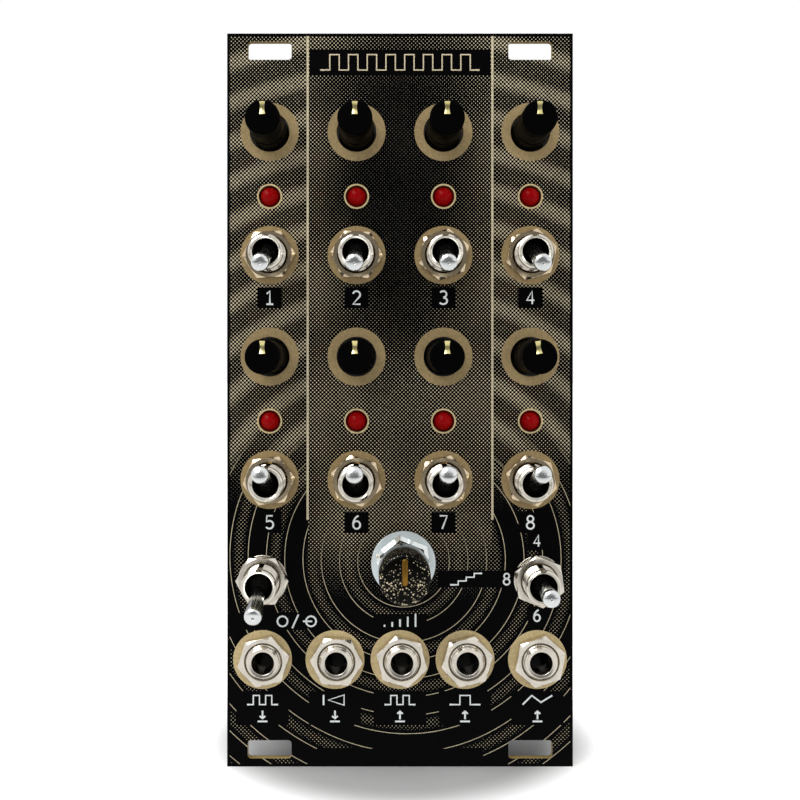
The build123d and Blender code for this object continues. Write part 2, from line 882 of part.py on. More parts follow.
with BuildPart() as board_connectors:
    with BuildSketch(front((0, 0), control_back)):
        with Locations(*connector_places):
            Rectangle(connector_width, connector_length)
        with Locations(*connector_pin_places):
            Rectangle(pin_square + board_hole_fit, pin_square + board_hole_fit, mode=Mode.SUBTRACT)
    extrude(amount=-header_height)
    with BuildSketch(front((0, 0), main_front)):
        with Locations(*connector_places):
            Rectangle(connector_width, connector_length)
        with Locations(*connector_pin_places):
            Rectangle(pin_square + board_hole_fit, pin_square + board_hole_fit, mode=Mode.SUBTRACT)
    extrude(amount=socket_depth)
save(board_connectors, "board_connectors")

with BuildPart() as connector_pins_piece:
    with BuildSketch(front((0, 0), control_face + terminal_tail)):
        with Locations(*connector_pin_places):
            Rectangle(pin_square, pin_square)
    extrude(amount=pin_low - control_face - terminal_tail)
    with BuildSketch(front((0, 0), main_back - terminal_tail)):
        with Locations(*connector_pin_places):
            Rectangle(pin_square, pin_square)
    extrude(amount=pin_low - pin_square - main_back + terminal_tail)
    with BuildSketch(front((0, 0), main_front + terminal_tail)):
        with Locations(*header_pin_places):
            Rectangle(pin_square, pin_square)
    extrude(amount=-(board_thickness + terminal_tail + header_floor + header_pin_rise))
save(connector_pins_piece, "connector_pins")

with BuildPart() as board_spacers:
    with BuildSketch(front((0, 0), main_front)):
        with Locations(*spacer_places):
            RegularPolygon(spacer_flats / 2, 6, major_radius=False)
            Circle(screw_radius, mode=Mode.SUBTRACT)
    extrude(amount=board_spacing)
save(board_spacers, "board_spacers")

with BuildPart() as screw_form:
    with BuildSketch():
        Circle(screw_head_radius)
    extrude(amount=screw_head_height)
    with BuildSketch(Plane.XY.offset(screw_head_height)):
        Rectangle(screw_recess_length, screw_recess_width)
        Rectangle(screw_recess_width, screw_recess_length)
    extrude(amount=-screw_recess_depth, mode=Mode.SUBTRACT)
    with BuildSketch():
        Circle(screw_radius)
    extrude(amount=-(board_thickness + screw_depth))

with BuildPart() as board_screws:
    with Locations(*[front(place, control_face) for place in spacer_places]):
        add(screw_form.part)
    with Locations(*[back(place, main_back) for place in spacer_places]):
        add(screw_form.part)
save(board_screws, "board_screws")


# Power header: a keyed shroud round two rows of pins

with BuildPart() as power_header:
    with BuildSketch(back(header_place, main_back)):
        Rectangle(header_length, header_breadth)
        with Locations(*header_offsets):
            Rectangle(pin_square + board_hole_fit, pin_square + board_hole_fit, mode=Mode.SUBTRACT)
    extrude(amount=header_floor)
    with BuildSketch(back(header_place, main_back - header_floor)):
        Rectangle(header_length, header_breadth)
        Rectangle(header_length - 2 * header_wall, header_breadth - 2 * header_wall, mode=Mode.SUBTRACT)
        with Locations((0, -header_breadth / 2)):
            Rectangle(header_key_width, 2 * header_wall, mode=Mode.SUBTRACT)
    extrude(amount=header_depth - header_floor)
save(power_header, "power_header")


# Chips in their sockets


def chip_span(pin_count):
    """The length of one row of a chip's pins."""
    return pin_pitch * pin_count / 2


with BuildPart() as chip_sockets:
    for place, pin_count in zip(chip_places, chip_pin_counts):
        span = chip_span(pin_count)
        with BuildSketch(back(place, main_back)):
            Rectangle(span + 2 * socket_overhang, socket_width)
            Rectangle(span - socket_window_inset, socket_window_width, mode=Mode.SUBTRACT)
        extrude(amount=socket_height)
save(chip_sockets, "chip_sockets")

with BuildPart() as chips:
    for place, pin_count in zip(chip_places, chip_pin_counts):
        body_length = chip_span(pin_count) - chip_overhang
        chip_top = main_back - socket_height - chip_height
        with BuildSketch(back(place, main_back - socket_height)):
            Rectangle(body_length, chip_width)
        extrude(amount=chip_height)
        with BuildSketch(back(place, chip_top)):
            with Locations((body_length / 2, 0)):
                Circle(chip_notch_radius)
        extrude(amount=-chip_notch_depth, mode=Mode.SUBTRACT)
save(chips, "chips")


# Capacitors, resistors and diodes

with BuildPart() as can_form:
    with BuildSketch():
        Circle(can_radius)
    extrude(amount=can_height)
    chamfer(can_form.edges().group_by(Axis.Z)[-1], can_bevel)

with BuildPart() as can_capacitors:
    with Locations(*[back(place, main_back) for place in can_places]):
        add(can_form.part)
save(can_capacitors, "can_capacitors")

with BuildPart() as disc_capacitors:
    for place in disc_cap_places:
        with BuildSketch(back(place, main_back)):
            Rectangle(disc_cap_thickness, disc_cap_length)
        extrude(amount=disc_cap_height)
    chamfer(disc_capacitors.edges().group_by(Axis.Y)[-1].filter_by(Axis.X), disc_cap_round)
save(disc_capacitors, "disc_capacitors")


def axial_form(body_radius, body_length, lead_span):
    """A round body lying on the board, with a lead from each end bent down to it."""
    height = body_radius + resistor_lift
    lead_x = (lead_span - lead_square) / 2
    with BuildPart() as axial:
        with BuildSketch(Plane.YZ.offset(-body_length / 2)):
            with Locations((0, height)):
                Circle(body_radius)
        extrude(amount=body_length)
        with BuildSketch(Plane.XZ.offset(-lead_square / 2)):
            with Locations((0, (height + lead_square / 2) / 2)):
                Rectangle(lead_span, height + lead_square / 2)
            with Locations((0, (height - lead_square / 2) / 2)):
                Rectangle(lead_span - 2 * lead_square, height - lead_square / 2, mode=Mode.SUBTRACT)
        extrude(amount=lead_square)
    return axial.part


resistor_form = axial_form(resistor_radius, resistor_length, resistor_lead_span)
diode_form = axial_form(diode_radius, diode_length, diode_lead_span)
resistor_places = [
    (resistor_rank_x, resistor_rank_top - resistor_pitch * number) for number in range(resistor_count)
]
diode_places = [(diode_rank_x, diode_rank_top - diode_pitch * number) for number in range(diode_count)]

with BuildPart() as resistors:
    with Locations(*[back(place, main_back) for place in resistor_places]):
        add(resistor_form)
save(resistors, "resistors")

with BuildPart() as diodes:
    with Locations(*[back(place, main_back) for place in diode_places]):
        add(diode_form)
save(diodes, "diodes")
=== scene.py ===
import json
import math

import bmesh
import bpy
from bpy.props import FloatProperty, FloatVectorProperty, IntProperty, PointerProperty
from mathutils import Matrix, Vector

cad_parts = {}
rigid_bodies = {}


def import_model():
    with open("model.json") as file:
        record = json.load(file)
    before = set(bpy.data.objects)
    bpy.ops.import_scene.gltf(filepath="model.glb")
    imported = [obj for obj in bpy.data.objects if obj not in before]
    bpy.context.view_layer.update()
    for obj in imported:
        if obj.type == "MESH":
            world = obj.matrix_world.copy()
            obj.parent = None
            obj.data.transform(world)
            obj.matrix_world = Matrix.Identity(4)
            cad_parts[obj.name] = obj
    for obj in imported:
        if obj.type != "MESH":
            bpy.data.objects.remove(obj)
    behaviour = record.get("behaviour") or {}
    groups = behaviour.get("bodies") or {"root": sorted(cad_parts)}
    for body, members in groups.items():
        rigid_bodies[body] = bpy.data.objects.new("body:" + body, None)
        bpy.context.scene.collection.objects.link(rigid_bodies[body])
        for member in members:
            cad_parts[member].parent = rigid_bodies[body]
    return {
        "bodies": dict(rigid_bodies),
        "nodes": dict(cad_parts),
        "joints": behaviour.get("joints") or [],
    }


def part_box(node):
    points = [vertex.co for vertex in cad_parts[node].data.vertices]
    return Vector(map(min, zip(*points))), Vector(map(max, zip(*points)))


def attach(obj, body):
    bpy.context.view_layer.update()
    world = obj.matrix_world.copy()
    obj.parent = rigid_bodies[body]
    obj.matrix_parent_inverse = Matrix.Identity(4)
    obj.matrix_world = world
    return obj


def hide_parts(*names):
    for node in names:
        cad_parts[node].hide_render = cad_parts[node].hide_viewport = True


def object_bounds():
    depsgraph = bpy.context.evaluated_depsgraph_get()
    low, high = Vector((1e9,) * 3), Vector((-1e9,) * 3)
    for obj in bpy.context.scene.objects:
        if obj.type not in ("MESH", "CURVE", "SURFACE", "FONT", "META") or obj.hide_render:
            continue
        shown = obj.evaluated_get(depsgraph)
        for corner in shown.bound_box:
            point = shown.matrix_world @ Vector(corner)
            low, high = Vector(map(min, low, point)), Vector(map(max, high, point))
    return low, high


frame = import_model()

bl_info = {
    "name": "Rack Sequencer Module",
    "version": (1, 0, 0),
    "blender": (4, 5, 0),
    "location": "3D View > Sidebar > Module",
    "description": "Gives a rack module its finishes and fine shapes around its frame",
    "category": "Add Mesh",
}

MM = 0.001
TURN = 2 * math.pi
cad_low, cad_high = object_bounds()
panel_low, panel_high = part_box("front_panel")
panel_face = -panel_low.y / MM
joint_points = {joint["child"]: Vector(joint["pos_m"]) for joint in frame["joints"]}
step_numbers = range(1, 1 + sum(name.startswith("step_knob_") for name in frame["bodies"]))
lever_names = [name for name in frame["bodies"] if "lever" in name]

# Sizes in millimetres that several pieces share
BUSHING_RADIUS = 3.0
SCREW_RADIUS = 1.5
GRID = 2.54          # pitch of the chips' legs
ROW_HALF = 3.81      # from a chip's middle to a row of its legs
SIGN_SHIFT = 0.3     # how far left of the jacks their rings and signs are printed
HALF_SPANS = {"resistors": 4.83, "diodes": 3.56}    # from a part's middle to its bent leads


def srgb(code):
    """An sRGB hex colour as linear red, green, blue and alpha."""
    shares = [int(code[start:start + 2], 16) / 255 for start in (1, 3, 5)]
    return tuple(s / 12.92 if s <= 0.04045 else ((s + 0.055) / 1.055) ** 2.4 for s in shares) + (1,)


# Sizes and colours that a user would change


def length(name, description, size):
    """A length property whose default is given in millimetres."""
    return FloatProperty(
        name=name, description=description, default=size * MM, min=0, unit="LENGTH", precision=5
    )


def colour(name, description, code):
    """A colour property whose default is an sRGB hex colour."""
    return FloatVectorProperty(
        name=name, description=description, default=srgb(code), min=0, max=1, size=4, subtype="COLOR"
    )


class PrintSizes(bpy.types.PropertyGroup):
    dot_pitch: length("Dot Pitch", "Distance between the dots of the print along a row", 0.68)
    ring_radius: length("Control Ring", "Outer radius of the bare rings round pots and switches", 5.1)
    lamp_ring_radius: length("Lamp Ring", "Outer radius of the bare rings round the lamps", 2.2)
    jack_ring_radius: length("Jack Ring", "Outer radius of the bare rings round the jacks", 5.15)
    line_x: length("Line Offset", "Distance of the two upright lines from the middle", 16.2)
    line_width: length("Line Width", "Width of the two upright lines", 0.38)
    stroke: length("Stroke", "Width of the strokes of numbers and signs", 0.3)
    ink: length("Ink", "How far the ink stands proud of the lacquer", 0.02)
    digit_height: length("Digit Height", "Height of a step's number", 2.3)
    title_height: length("Title Height", "Height of the pulse row at the top", 2.7)


class PanelColours(bpy.types.PropertyGroup):
    lacquer: colour("Lacquer", "Black lacquer of the panel and boards", "#030304")
    bare: colour("Bare Ring", "Bare glass-fibre board round the controls", "#8B7957")
    bare_jack: colour("Jack Ring", "Bare board round the jacks", "#B5A37B")
    dot: colour("Dot", "Bare board in the dots of the print", "#B0A68B")
    core: colour("Core", "Glass-fibre core at the board's edge", "#8C7A4C")
    ink: colour("Ink", "Printed numbers and signs", "#BCC1C0")
    title: colour("Title", "Bare board in the pulse row at the top", "#A79B80")
    mask: colour("Solder Mask", "Black solder mask of the boards behind the panel", "#0A0B0C")
    track: colour("Track", "Solder mask over a copper track", "#22262A")


class MetalColours(bpy.types.PropertyGroup):
    nickel: colour("Nickel", "Nickel plating of bushings and nuts", "#E3DCCF")
    # Nickel tinted golden for the step switches' nuts: a painted reflection of the tan board round them
    worn: colour("Worn Nickel", "Thin nickel over brass of the step switches' nuts", "#E3CFAE")
    bat: colour("Bat", "Bright plating of the levers", "#E4E7E6")
    zinc: colour("Zinc", "Bright zinc of the rate pot's nut and the washers", "#E6EEF0")
    tin: colour("Tin", "Tinned terminals and covers", "#C6C7C2")
    solder: colour("Solder", "Solder joints", "#B9BBBD")
    gold: colour("Gold", "Gold-plated pins", "#D8B35C")
    brass: colour("Brass", "Dull insert of the rate knob", "#A0762F")
    aluminium: colour("Aluminium", "Can tops", "#C4C6C8")


class ResinColours(bpy.types.PropertyGroup):
    knob: colour("Knob", "Black resin of the step knobs", "#020202")
    insert: colour("Insert", "Pale inserts of the step knobs", "#EFE3A0")
    gloss: colour("Gloss Knob", "Polished resin of the rate knob", "#040403")
    fleck: colour("Fleck", "Flecks in the rate knob", "#F6E6C0")
    lamp: colour("Lamp", "Tinted lens of a lamp", "#780002")
    case: colour("Switch Case", "Switch case", "#1D2C4A")
    pot: colour("Pot Base", "Pot bases and chip sockets", "#16171A")
    black: colour("Black Resin", "Jacks and connectors", "#0E0E10")
    chip: colour("Chip", "Moulded epoxy of the chips", "#1B1C1E")
    sleeve: colour("Can Sleeve", "Shrink sleeve of the cans", "#10162E")
    stripe: colour("Can Stripe", "Pale stripe of the cans", "#B8BEC8")
    dip: colour("Dipped Coat", "Coat of the disc capacitors", "#B5561A")
    coat: colour("Resistor Coat", "Lacquer of the resistors", "#7FA6BC")
    glass: colour("Diode Glass", "Glass bead of a diode", "#B4542A")


class TurnedSizes(bpy.types.PropertyGroup):
    steps: IntProperty(name="Steps", description="Sides of a turned form", default=72, min=12)
    switch_pitch: length("Switch Thread", "Thread pitch of the switch bushings", 0.75)
    jack_pitch: length("Jack Thread", "Thread pitch of the jack bushings", 0.5)
    thread_depth: FloatProperty(
        name="Thread Depth", description="Depth of a thread as a share of its pitch",
        default=0.28, min=0, max=0.4,
    )
    nut_bevel: length("Nut Bevel", "Width of the bevel round a nut's flats", 0.05)
    rate_bevel: length("Rate Nut Bevel", "Width of the bevel round the flats of the rate pot's nut", 0.9)
    lip: length("Lip", "Height of a bushing's sloping rim", 0.26)
    jack_lip: length("Jack Lip", "Height of a jack's sloping rim", 0.36)
    knob_round: length("Knob Edge", "Rounding of a step knob's end", 0.28)
    gloss_round: length("Rate Knob Edge", "Rounding of the rate knob's end", 0.7)
    tip_round: length("Tip Dome", "Height of the dome on a lever's tip", 0.7)
    dimple: length("Dimple", "Radius of the turning mark in a lever's tip", 0.22)


class StageSizes(bpy.types.PropertyGroup):
    distance: length("Camera Distance", "From the camera to the panel's face", 210)
    camera_x: FloatProperty(
        name="Camera Side", description="How far right the camera stands",
        default=-2.9 * MM, unit="LENGTH", precision=5,
    )
    camera_z: length("Camera Height", "How far above the panel's middle the camera stands", 7.7)
    frame_height: length("Frame Height", "Height of the panel's plane that the picture shows", 140.25)
    floor_radius: length("Floor", "Radius of the floor", 3000)
    lamp_reach: length("Lamp Reach", "Distance of the lamps from the module", 420)
    floor: colour("Floor", "Pale floor", "#E6E6E6")
    # Painted shadow: a darker floor colour under and round the module, standing in for its shade
    near_floor: colour("Floor Under Module", "Floor in the module's own shade", "#A2A2A2")


GROUPS = {
    "module_print": PrintSizes,
    "module_panel": PanelColours,
    "module_metal": MetalColours,
    "module_resin": ResinColours,
    "module_turned": TurnedSizes,
    "module_stage": StageSizes,
}


# Forms, all built standing on Z in millimetres and laid on the panel afterwards


def rounded(corners, steps=5):
    """The points of an outline given as (radius, height, rounding), with an arc at each rounding."""
    points = []
    for number, (x, z, rounding) in enumerate(corners):
        here = Vector((x, z))
        if not rounding:
            points.append(here)
            continue
        before = (Vector(corners[number - 1][:2]) - here).normalized()
        after = (Vector(corners[(number + 1) % len(corners)][:2]) - here).normalized()
        half = before.angle(after) / 2
        middle = here + (before + after).normalized() * rounding / math.sin(half)
        start = here + before * rounding / math.tan(half) - middle
        end = here + after * rounding / math.tan(half) - middle
        for step in range(steps + 1):
            points.append(middle + start.lerp(end, step / steps).normalized() * rounding)
    return points


def lathe(corners, steps=72):
    """Spin an outline round Z: a closed ring, or a solid where it starts on the axis."""
    form = bmesh.new()
    verts = [form.verts.new((x * MM, 0, z * MM)) for x, z in rounded(corners)]
    pairs = list(zip(verts, verts[1:]))
    if corners[0][0] > 0:
        pairs.append((verts[-1], verts[0]))
    edges = [form.edges.new(pair) for pair in pairs]
    bmesh.ops.spin(
        form, geom=verts + edges, cent=(0, 0, 0), axis=(0, 0, 1), angle=TURN, steps=steps, use_merge=True
    )
    bmesh.ops.remove_doubles(form, verts=form.verts, dist=0.0005 * MM)
    bmesh.ops.recalc_face_normals(form, faces=form.faces)
    return form


def block(width, length_y, low, high, bevel, segments=2):
    """A bevelled block centred on Z."""
    form = bmesh.new()
    bmesh.ops.create_cube(form, size=1)
    bmesh.ops.scale(form, vec=(width * MM, length_y * MM, (high - low) * MM), verts=form.verts)
    bmesh.ops.translate(form, vec=(0, 0, (low + high) / 2 * MM), verts=form.verts)
    if bevel:
        bmesh.ops.bevel(
            form, geom=form.edges, offset=bevel * MM, segments=segments, affect="EDGES", profile=0.5,
            material=-1,
        )
    return form


def hex_nut(flats, bore, low, high, edge, fall):
    """A ring whose wall is drawn out to six flats, bevelled on top, with its corners turned off."""
    inner = flats / 2
    form = lathe([
        (bore + 0.15, low, 0), (inner - 0.1, low, 0), (inner, low + 0.1, 0), (inner, high - fall, 0),
        (inner - edge, high, 0), (bore + 0.28, high, 0), (bore + 0.12, high - 0.5, 0), (bore, high - 0.6, 0),
        (bore, low + 0.15, 0),
    ])
    for vert in form.verts:
        radius = vert.co.xy.length / MM
        if radius > inner - max(edge, 0.1) - 0.01:
            around = math.degrees(math.atan2(vert.co.y, vert.co.x)) % 60
            reach = radius / math.cos(math.radians(around - 30))
            if vert.co.z / MM > high - fall / 2:
                reach = min(reach, inner)
            elif vert.co.z / MM > (low + high) / 2:
                vert.co.z -= max(0, reach - inner) * math.tan(math.radians(30)) * MM
            vert.co.xy *= reach / radius
    return form


def cut_keyway(form, radius, width, depth, low):
    """Press a straight keyway into the upper side of a turned form, from a level upwards."""
    sides = width / 2, width / 2 - 0.02
    for share in (-sides[0], -sides[1], sides[1], sides[0]):
        upper = [v for v in form.verts if v.co.y > radius * 0.7 * MM]
        edges = [e for e in form.edges if all(v.co.y > radius * 0.7 * MM for v in e.verts)]
        faces = [f for f in form.faces if all(v.co.y > radius * 0.7 * MM for v in f.verts)]
        bmesh.ops.bisect_plane(
            form, geom=upper + edges + faces, dist=0.001 * MM, plane_co=(share * MM, 0, 0), plane_no=(1, 0, 0)
        )
    for vert in form.verts:
        inside = abs(vert.co.x) < (sides[1] + 0.005) * MM and vert.co.z > low * MM
        if inside and vert.co.y > (radius - depth) * MM:
            vert.co.y = (radius - depth) * MM


def flat_at(face, level):
    """Whether a face lies flat at a level."""
    return all(abs(vert.co.z / MM - level) < 0.001 for vert in face.verts)


def cut_recess(form, boxes, level, depth, taper=1.0):
    """Sink rectangles (low x, low y, high x, high y) into a form's flat end as one recess."""
    for low_x, low_y, high_x, high_y in boxes:
        for point, normal in (
            ((low_x, 0, 0), (1, 0, 0)), ((high_x, 0, 0), (1, 0, 0)),
            ((0, low_y, 0), (0, 1, 0)), ((0, high_y, 0), (0, 1, 0)),
        ):
            faces = [face for face in form.faces if flat_at(face, level)]
            edges = list({edge for face in faces for edge in face.edges})
            verts = list({vert for face in faces for vert in face.verts})
            bmesh.ops.bisect_plane(
                form, geom=verts + edges + faces, dist=0.0005 * MM,
                plane_co=Vector(point) * MM, plane_no=normal,
            )
    inside = []
    for face in form.faces:
        centre = face.calc_center_median() / MM
        if flat_at(face, level) and any(
            low_x < centre.x < high_x and low_y < centre.y < high_y for low_x, low_y, high_x, high_y in boxes
        ):
            inside.append(face)
    sunk = bmesh.ops.extrude_face_region(form, geom=inside)
    floor = [item for item in sunk["geom"] if isinstance(item, bmesh.types.BMVert)]
    bmesh.ops.translate(form, vec=(0, 0, -depth * MM), verts=floor)
    bmesh.ops.scale(form, vec=(taper, taper, 1), verts=floor)
    bmesh.ops.delete(form, geom=[face for face in inside if face.is_valid], context="FACES")


def raise_faces(form, height):
    """Pull a flat form up to a thickness and return the corners of its raised side."""
    raised = bmesh.ops.extrude_face_region(form, geom=form.faces[:])
    raised = [item for item in raised["geom"] if isinstance(item, bmesh.types.BMVert)]
    bmesh.ops.translate(form, vec=(0, 0, height * MM), verts=raised)
    bmesh.ops.recalc_face_normals(form, faces=form.faces)
    return raised


def dome(radius, foot, rise, start, end, step):
    """The corners of a lathe's outline along a dome, between two angles in degrees from its foot."""
    angles = [math.radians(angle) for angle in range(start, end, step)]
    return [(radius * math.cos(angle), foot + rise * math.sin(angle), 0) for angle in angles]


def solids_of(node):
    """The points of each separate solid of a CAD node, from the top row down and left to right."""
    form = bmesh.new()
    form.from_mesh(frame["nodes"][node].data)
    bmesh.ops.remove_doubles(form, verts=form.verts, dist=0.001 * MM)
    found, seen = [], set()
    for start in form.verts:
        if start in seen:
            continue
        seen.add(start)
        island, waiting = [], [start]
        while waiting:
            vert = waiting.pop()
            island.append(vert.co.copy())
            for edge in vert.link_edges:
                other = edge.other_vert(vert)
                if other not in seen:
                    seen.add(other)
                    waiting.append(other)
        found.append(island)
    form.free()
    return sorted(found, key=lambda points: (-round(middle(points).z, 4), middle(points).x))


def corners_of(points):
    """The lowest and highest corner of a list of points."""
    low = Vector([min(point[axis] for point in points) for axis in range(3)])
    high = Vector([max(point[axis] for point in points) for axis in range(3)])
    return low, high


def middle(points):
    """The middle of the box round a list of points."""
    low, high = corners_of(points)
    return (low + high) / 2


def boxes_of(node):
    """The lowest corner, the highest corner and the middle of each separate solid of a CAD node."""
    return [(*corners_of(points), middle(points)) for points in solids_of(node)]


def centres_of(node):
    """The middle of each separate solid of a CAD node, in millimetres."""
    return [middle(points) / MM for points in solids_of(node)]


def flat(point):
    """A point's place on the panel, without its depth."""
    return (point.x, point.z)


def on_front(place, turn=0.0, out=0.0, tilt=0.0):
    """From a form's own X, Y, Z to right, up and outwards at a place, turned there or tipped down."""
    return (
        Matrix.Translation((place[0], -out, place[1]))
        @ Matrix.Rotation(math.pi / 2 + tilt, 4, "X")
        @ Matrix.Rotation(turn, 4, "Z")
    )


def on_back(place, level):
    """From a form's own X, Y, Z to left, up and away behind at a place on a back face."""
    return (
        Matrix.Translation((place[0], level, place[1]))
        @ Matrix.Rotation(math.pi, 4, "Z")
        @ Matrix.Rotation(math.pi / 2, 4, "X")
    )


def add_piece(name, forms, body, material, replaces=(), sharp=32):
    """Lay each form at its places, make one object of them and let it ride on a body."""
    whole = bmesh.new()
    for form, places in forms:
        for place in places:
            part = bpy.data.meshes.new("part")
            form.to_mesh(part)
            part.transform(place)
            whole.from_mesh(part)
            bpy.data.meshes.remove(part)
    mesh = bpy.data.meshes.new(name)
    whole.to_mesh(mesh)
    whole.free()
    for form, _ in forms:
        form.free()
    mesh.polygons.foreach_set("use_smooth", [True] * len(mesh.polygons))
    mesh.set_sharp_from_angle(angle=math.radians(sharp))
    mesh.materials.append(material)
    piece = bpy.data.objects.new(name, mesh)
    bpy.context.scene.collection.objects.link(piece)
    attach(piece, body)
    if replaces:
        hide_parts(*replaces)


def bevelled_copy(name, node, finish_name, width, segments, slot):
    """A fixed CAD node's copy, with its flat faces joined and its sharp edges rounded."""
    form = bmesh.new()
    form.from_mesh(frame["nodes"][node].data)
    bmesh.ops.remove_doubles(form, verts=form.verts, dist=0.001 * MM)
    bmesh.ops.dissolve_limit(form, angle_limit=math.radians(1), verts=form.verts, edges=form.edges)
    edges = [edge for edge in form.edges if edge.is_manifold and edge.calc_face_angle() > math.radians(40)]
    bmesh.ops.bevel(
        form, geom=edges, offset=width * MM, segments=segments, affect="EDGES", profile=0.5, material=-1,
        clamp_overlap=True,
    )
    bmesh.ops.recalc_face_normals(form, faces=form.faces)
    add_piece(name, [(form, [Matrix()])], "module", finish(finish_name), [node], 35)


def dress(node, material):
    """Give a CAD node that stays its finish."""
    materials = frame["nodes"][node].data.materials
    materials.clear()
    materials.append(material)


# Finishes


def add_node(tree, kind, inputs=(), **settings):
    """Add a node, set its properties, and fill its inputs or link them to a node's first output."""
    node = tree.nodes.new(kind)
    for name, value in settings.items():
        setattr(node, name, value)
    for socket, value in dict(inputs).items():
        if isinstance(value, bpy.types.Node):
            value = next(output for output in value.outputs if output.enabled)
        if isinstance(value, bpy.types.NodeSocket):
            tree.links.new(value, node.inputs[socket])
        else:
            node.inputs[socket].default_value = value
    return node


def per(size):
    """The scale of a pattern whose features are a size in millimetres."""
    return 1 / (size * MM)


def new_finish(name, **sockets):
    """A material and its tree, whose principled shader has its constants set."""
    material = bpy.data.materials.new(name)
    material.use_nodes = True
    tree = material.node_tree
    shader = tree.nodes["Principled BSDF"]
    for socket, value in sockets.items():
        shader.inputs[socket.replace("_", " ")].default_value = value
    place = add_node(tree, "ShaderNodeTexCoord").outputs["Object"]
    return material, tree, shader, place


def plated(name, base, roughness, grain=0.35, spread=0.12, shade=0.82, height=0.003):
    """Polished plating: a mirror with fine handling haze, cloudy in places and darker in others."""
    material, tree, shader, place = new_finish(name, Metallic=1.0)
    cloud = add_node(tree, "ShaderNodeTexNoise", {"Vector": place, "Scale": per(2.2), "Detail": 3})
    fine = add_node(tree, "ShaderNodeTexNoise", {"Vector": place, "Scale": per(grain), "Detail": 1})
    tint = add_node(
        tree, "ShaderNodeMapRange",
        {"Value": cloud, "From Min": 0.3, "From Max": 0.7, "To Min": 0, "To Max": 1},
    )
    dark = tuple(share * shade for share in base[:3]) + (1,)
    mixed = add_node(
        tree, "ShaderNodeMix", {"Factor": tint, 6: dark, 7: tuple(base)}, data_type="RGBA"
    )
    tree.links.new(mixed.outputs[2], shader.inputs["Base Color"])
    rough = add_node(
        tree, "ShaderNodeMapRange",
        {"Value": fine, "From Min": 0.3, "From Max": 0.7, "To Min": roughness, "To Max": roughness + spread},
    )
    tree.links.new(rough.outputs[0], shader.inputs["Roughness"])
    bump = add_node(tree, "ShaderNodeBump", {"Height": fine, "Distance": height * MM, "Strength": 0.3})
    tree.links.new(bump.outputs[0], shader.inputs["Normal"])
    return material


def moulded(name, base, roughness, grain=0.25, height=0.004, coat=0.0, sheen=0.5):
    """Moulded resin: even in colour, with a fine grain and slightly uneven sheen."""
    material, tree, shader, place = new_finish(
        name, IOR=1.5, Specular_IOR_Level=sheen, Coat_Weight=coat, Coat_Roughness=0.08
    )
    grainy = add_node(tree, "ShaderNodeTexNoise", {"Vector": place, "Scale": per(grain), "Detail": 3})
    cloud = add_node(tree, "ShaderNodeTexNoise", {"Vector": place, "Scale": per(3), "Detail": 2})
    light = tuple(min(1, share * 1.3 + 0.0005) for share in base[:3]) + (1,)
    mixed = add_node(
        tree, "ShaderNodeMix", {"Factor": cloud, 6: tuple(base), 7: light}, data_type="RGBA"
    )
    tree.links.new(mixed.outputs[2], shader.inputs["Base Color"])
    rough = add_node(
        tree, "ShaderNodeMapRange",
        {"Value": cloud, "From Min": 0.3, "From Max": 0.7,
         "To Min": roughness - 0.05, "To Max": roughness + 0.08},
    )
    tree.links.new(rough.outputs[0], shader.inputs["Roughness"])
    bump = add_node(tree, "ShaderNodeBump", {"Height": grainy, "Distance": height * MM, "Strength": 0.6})
    tree.links.new(bump.outputs[0], shader.inputs["Normal"])
    return material


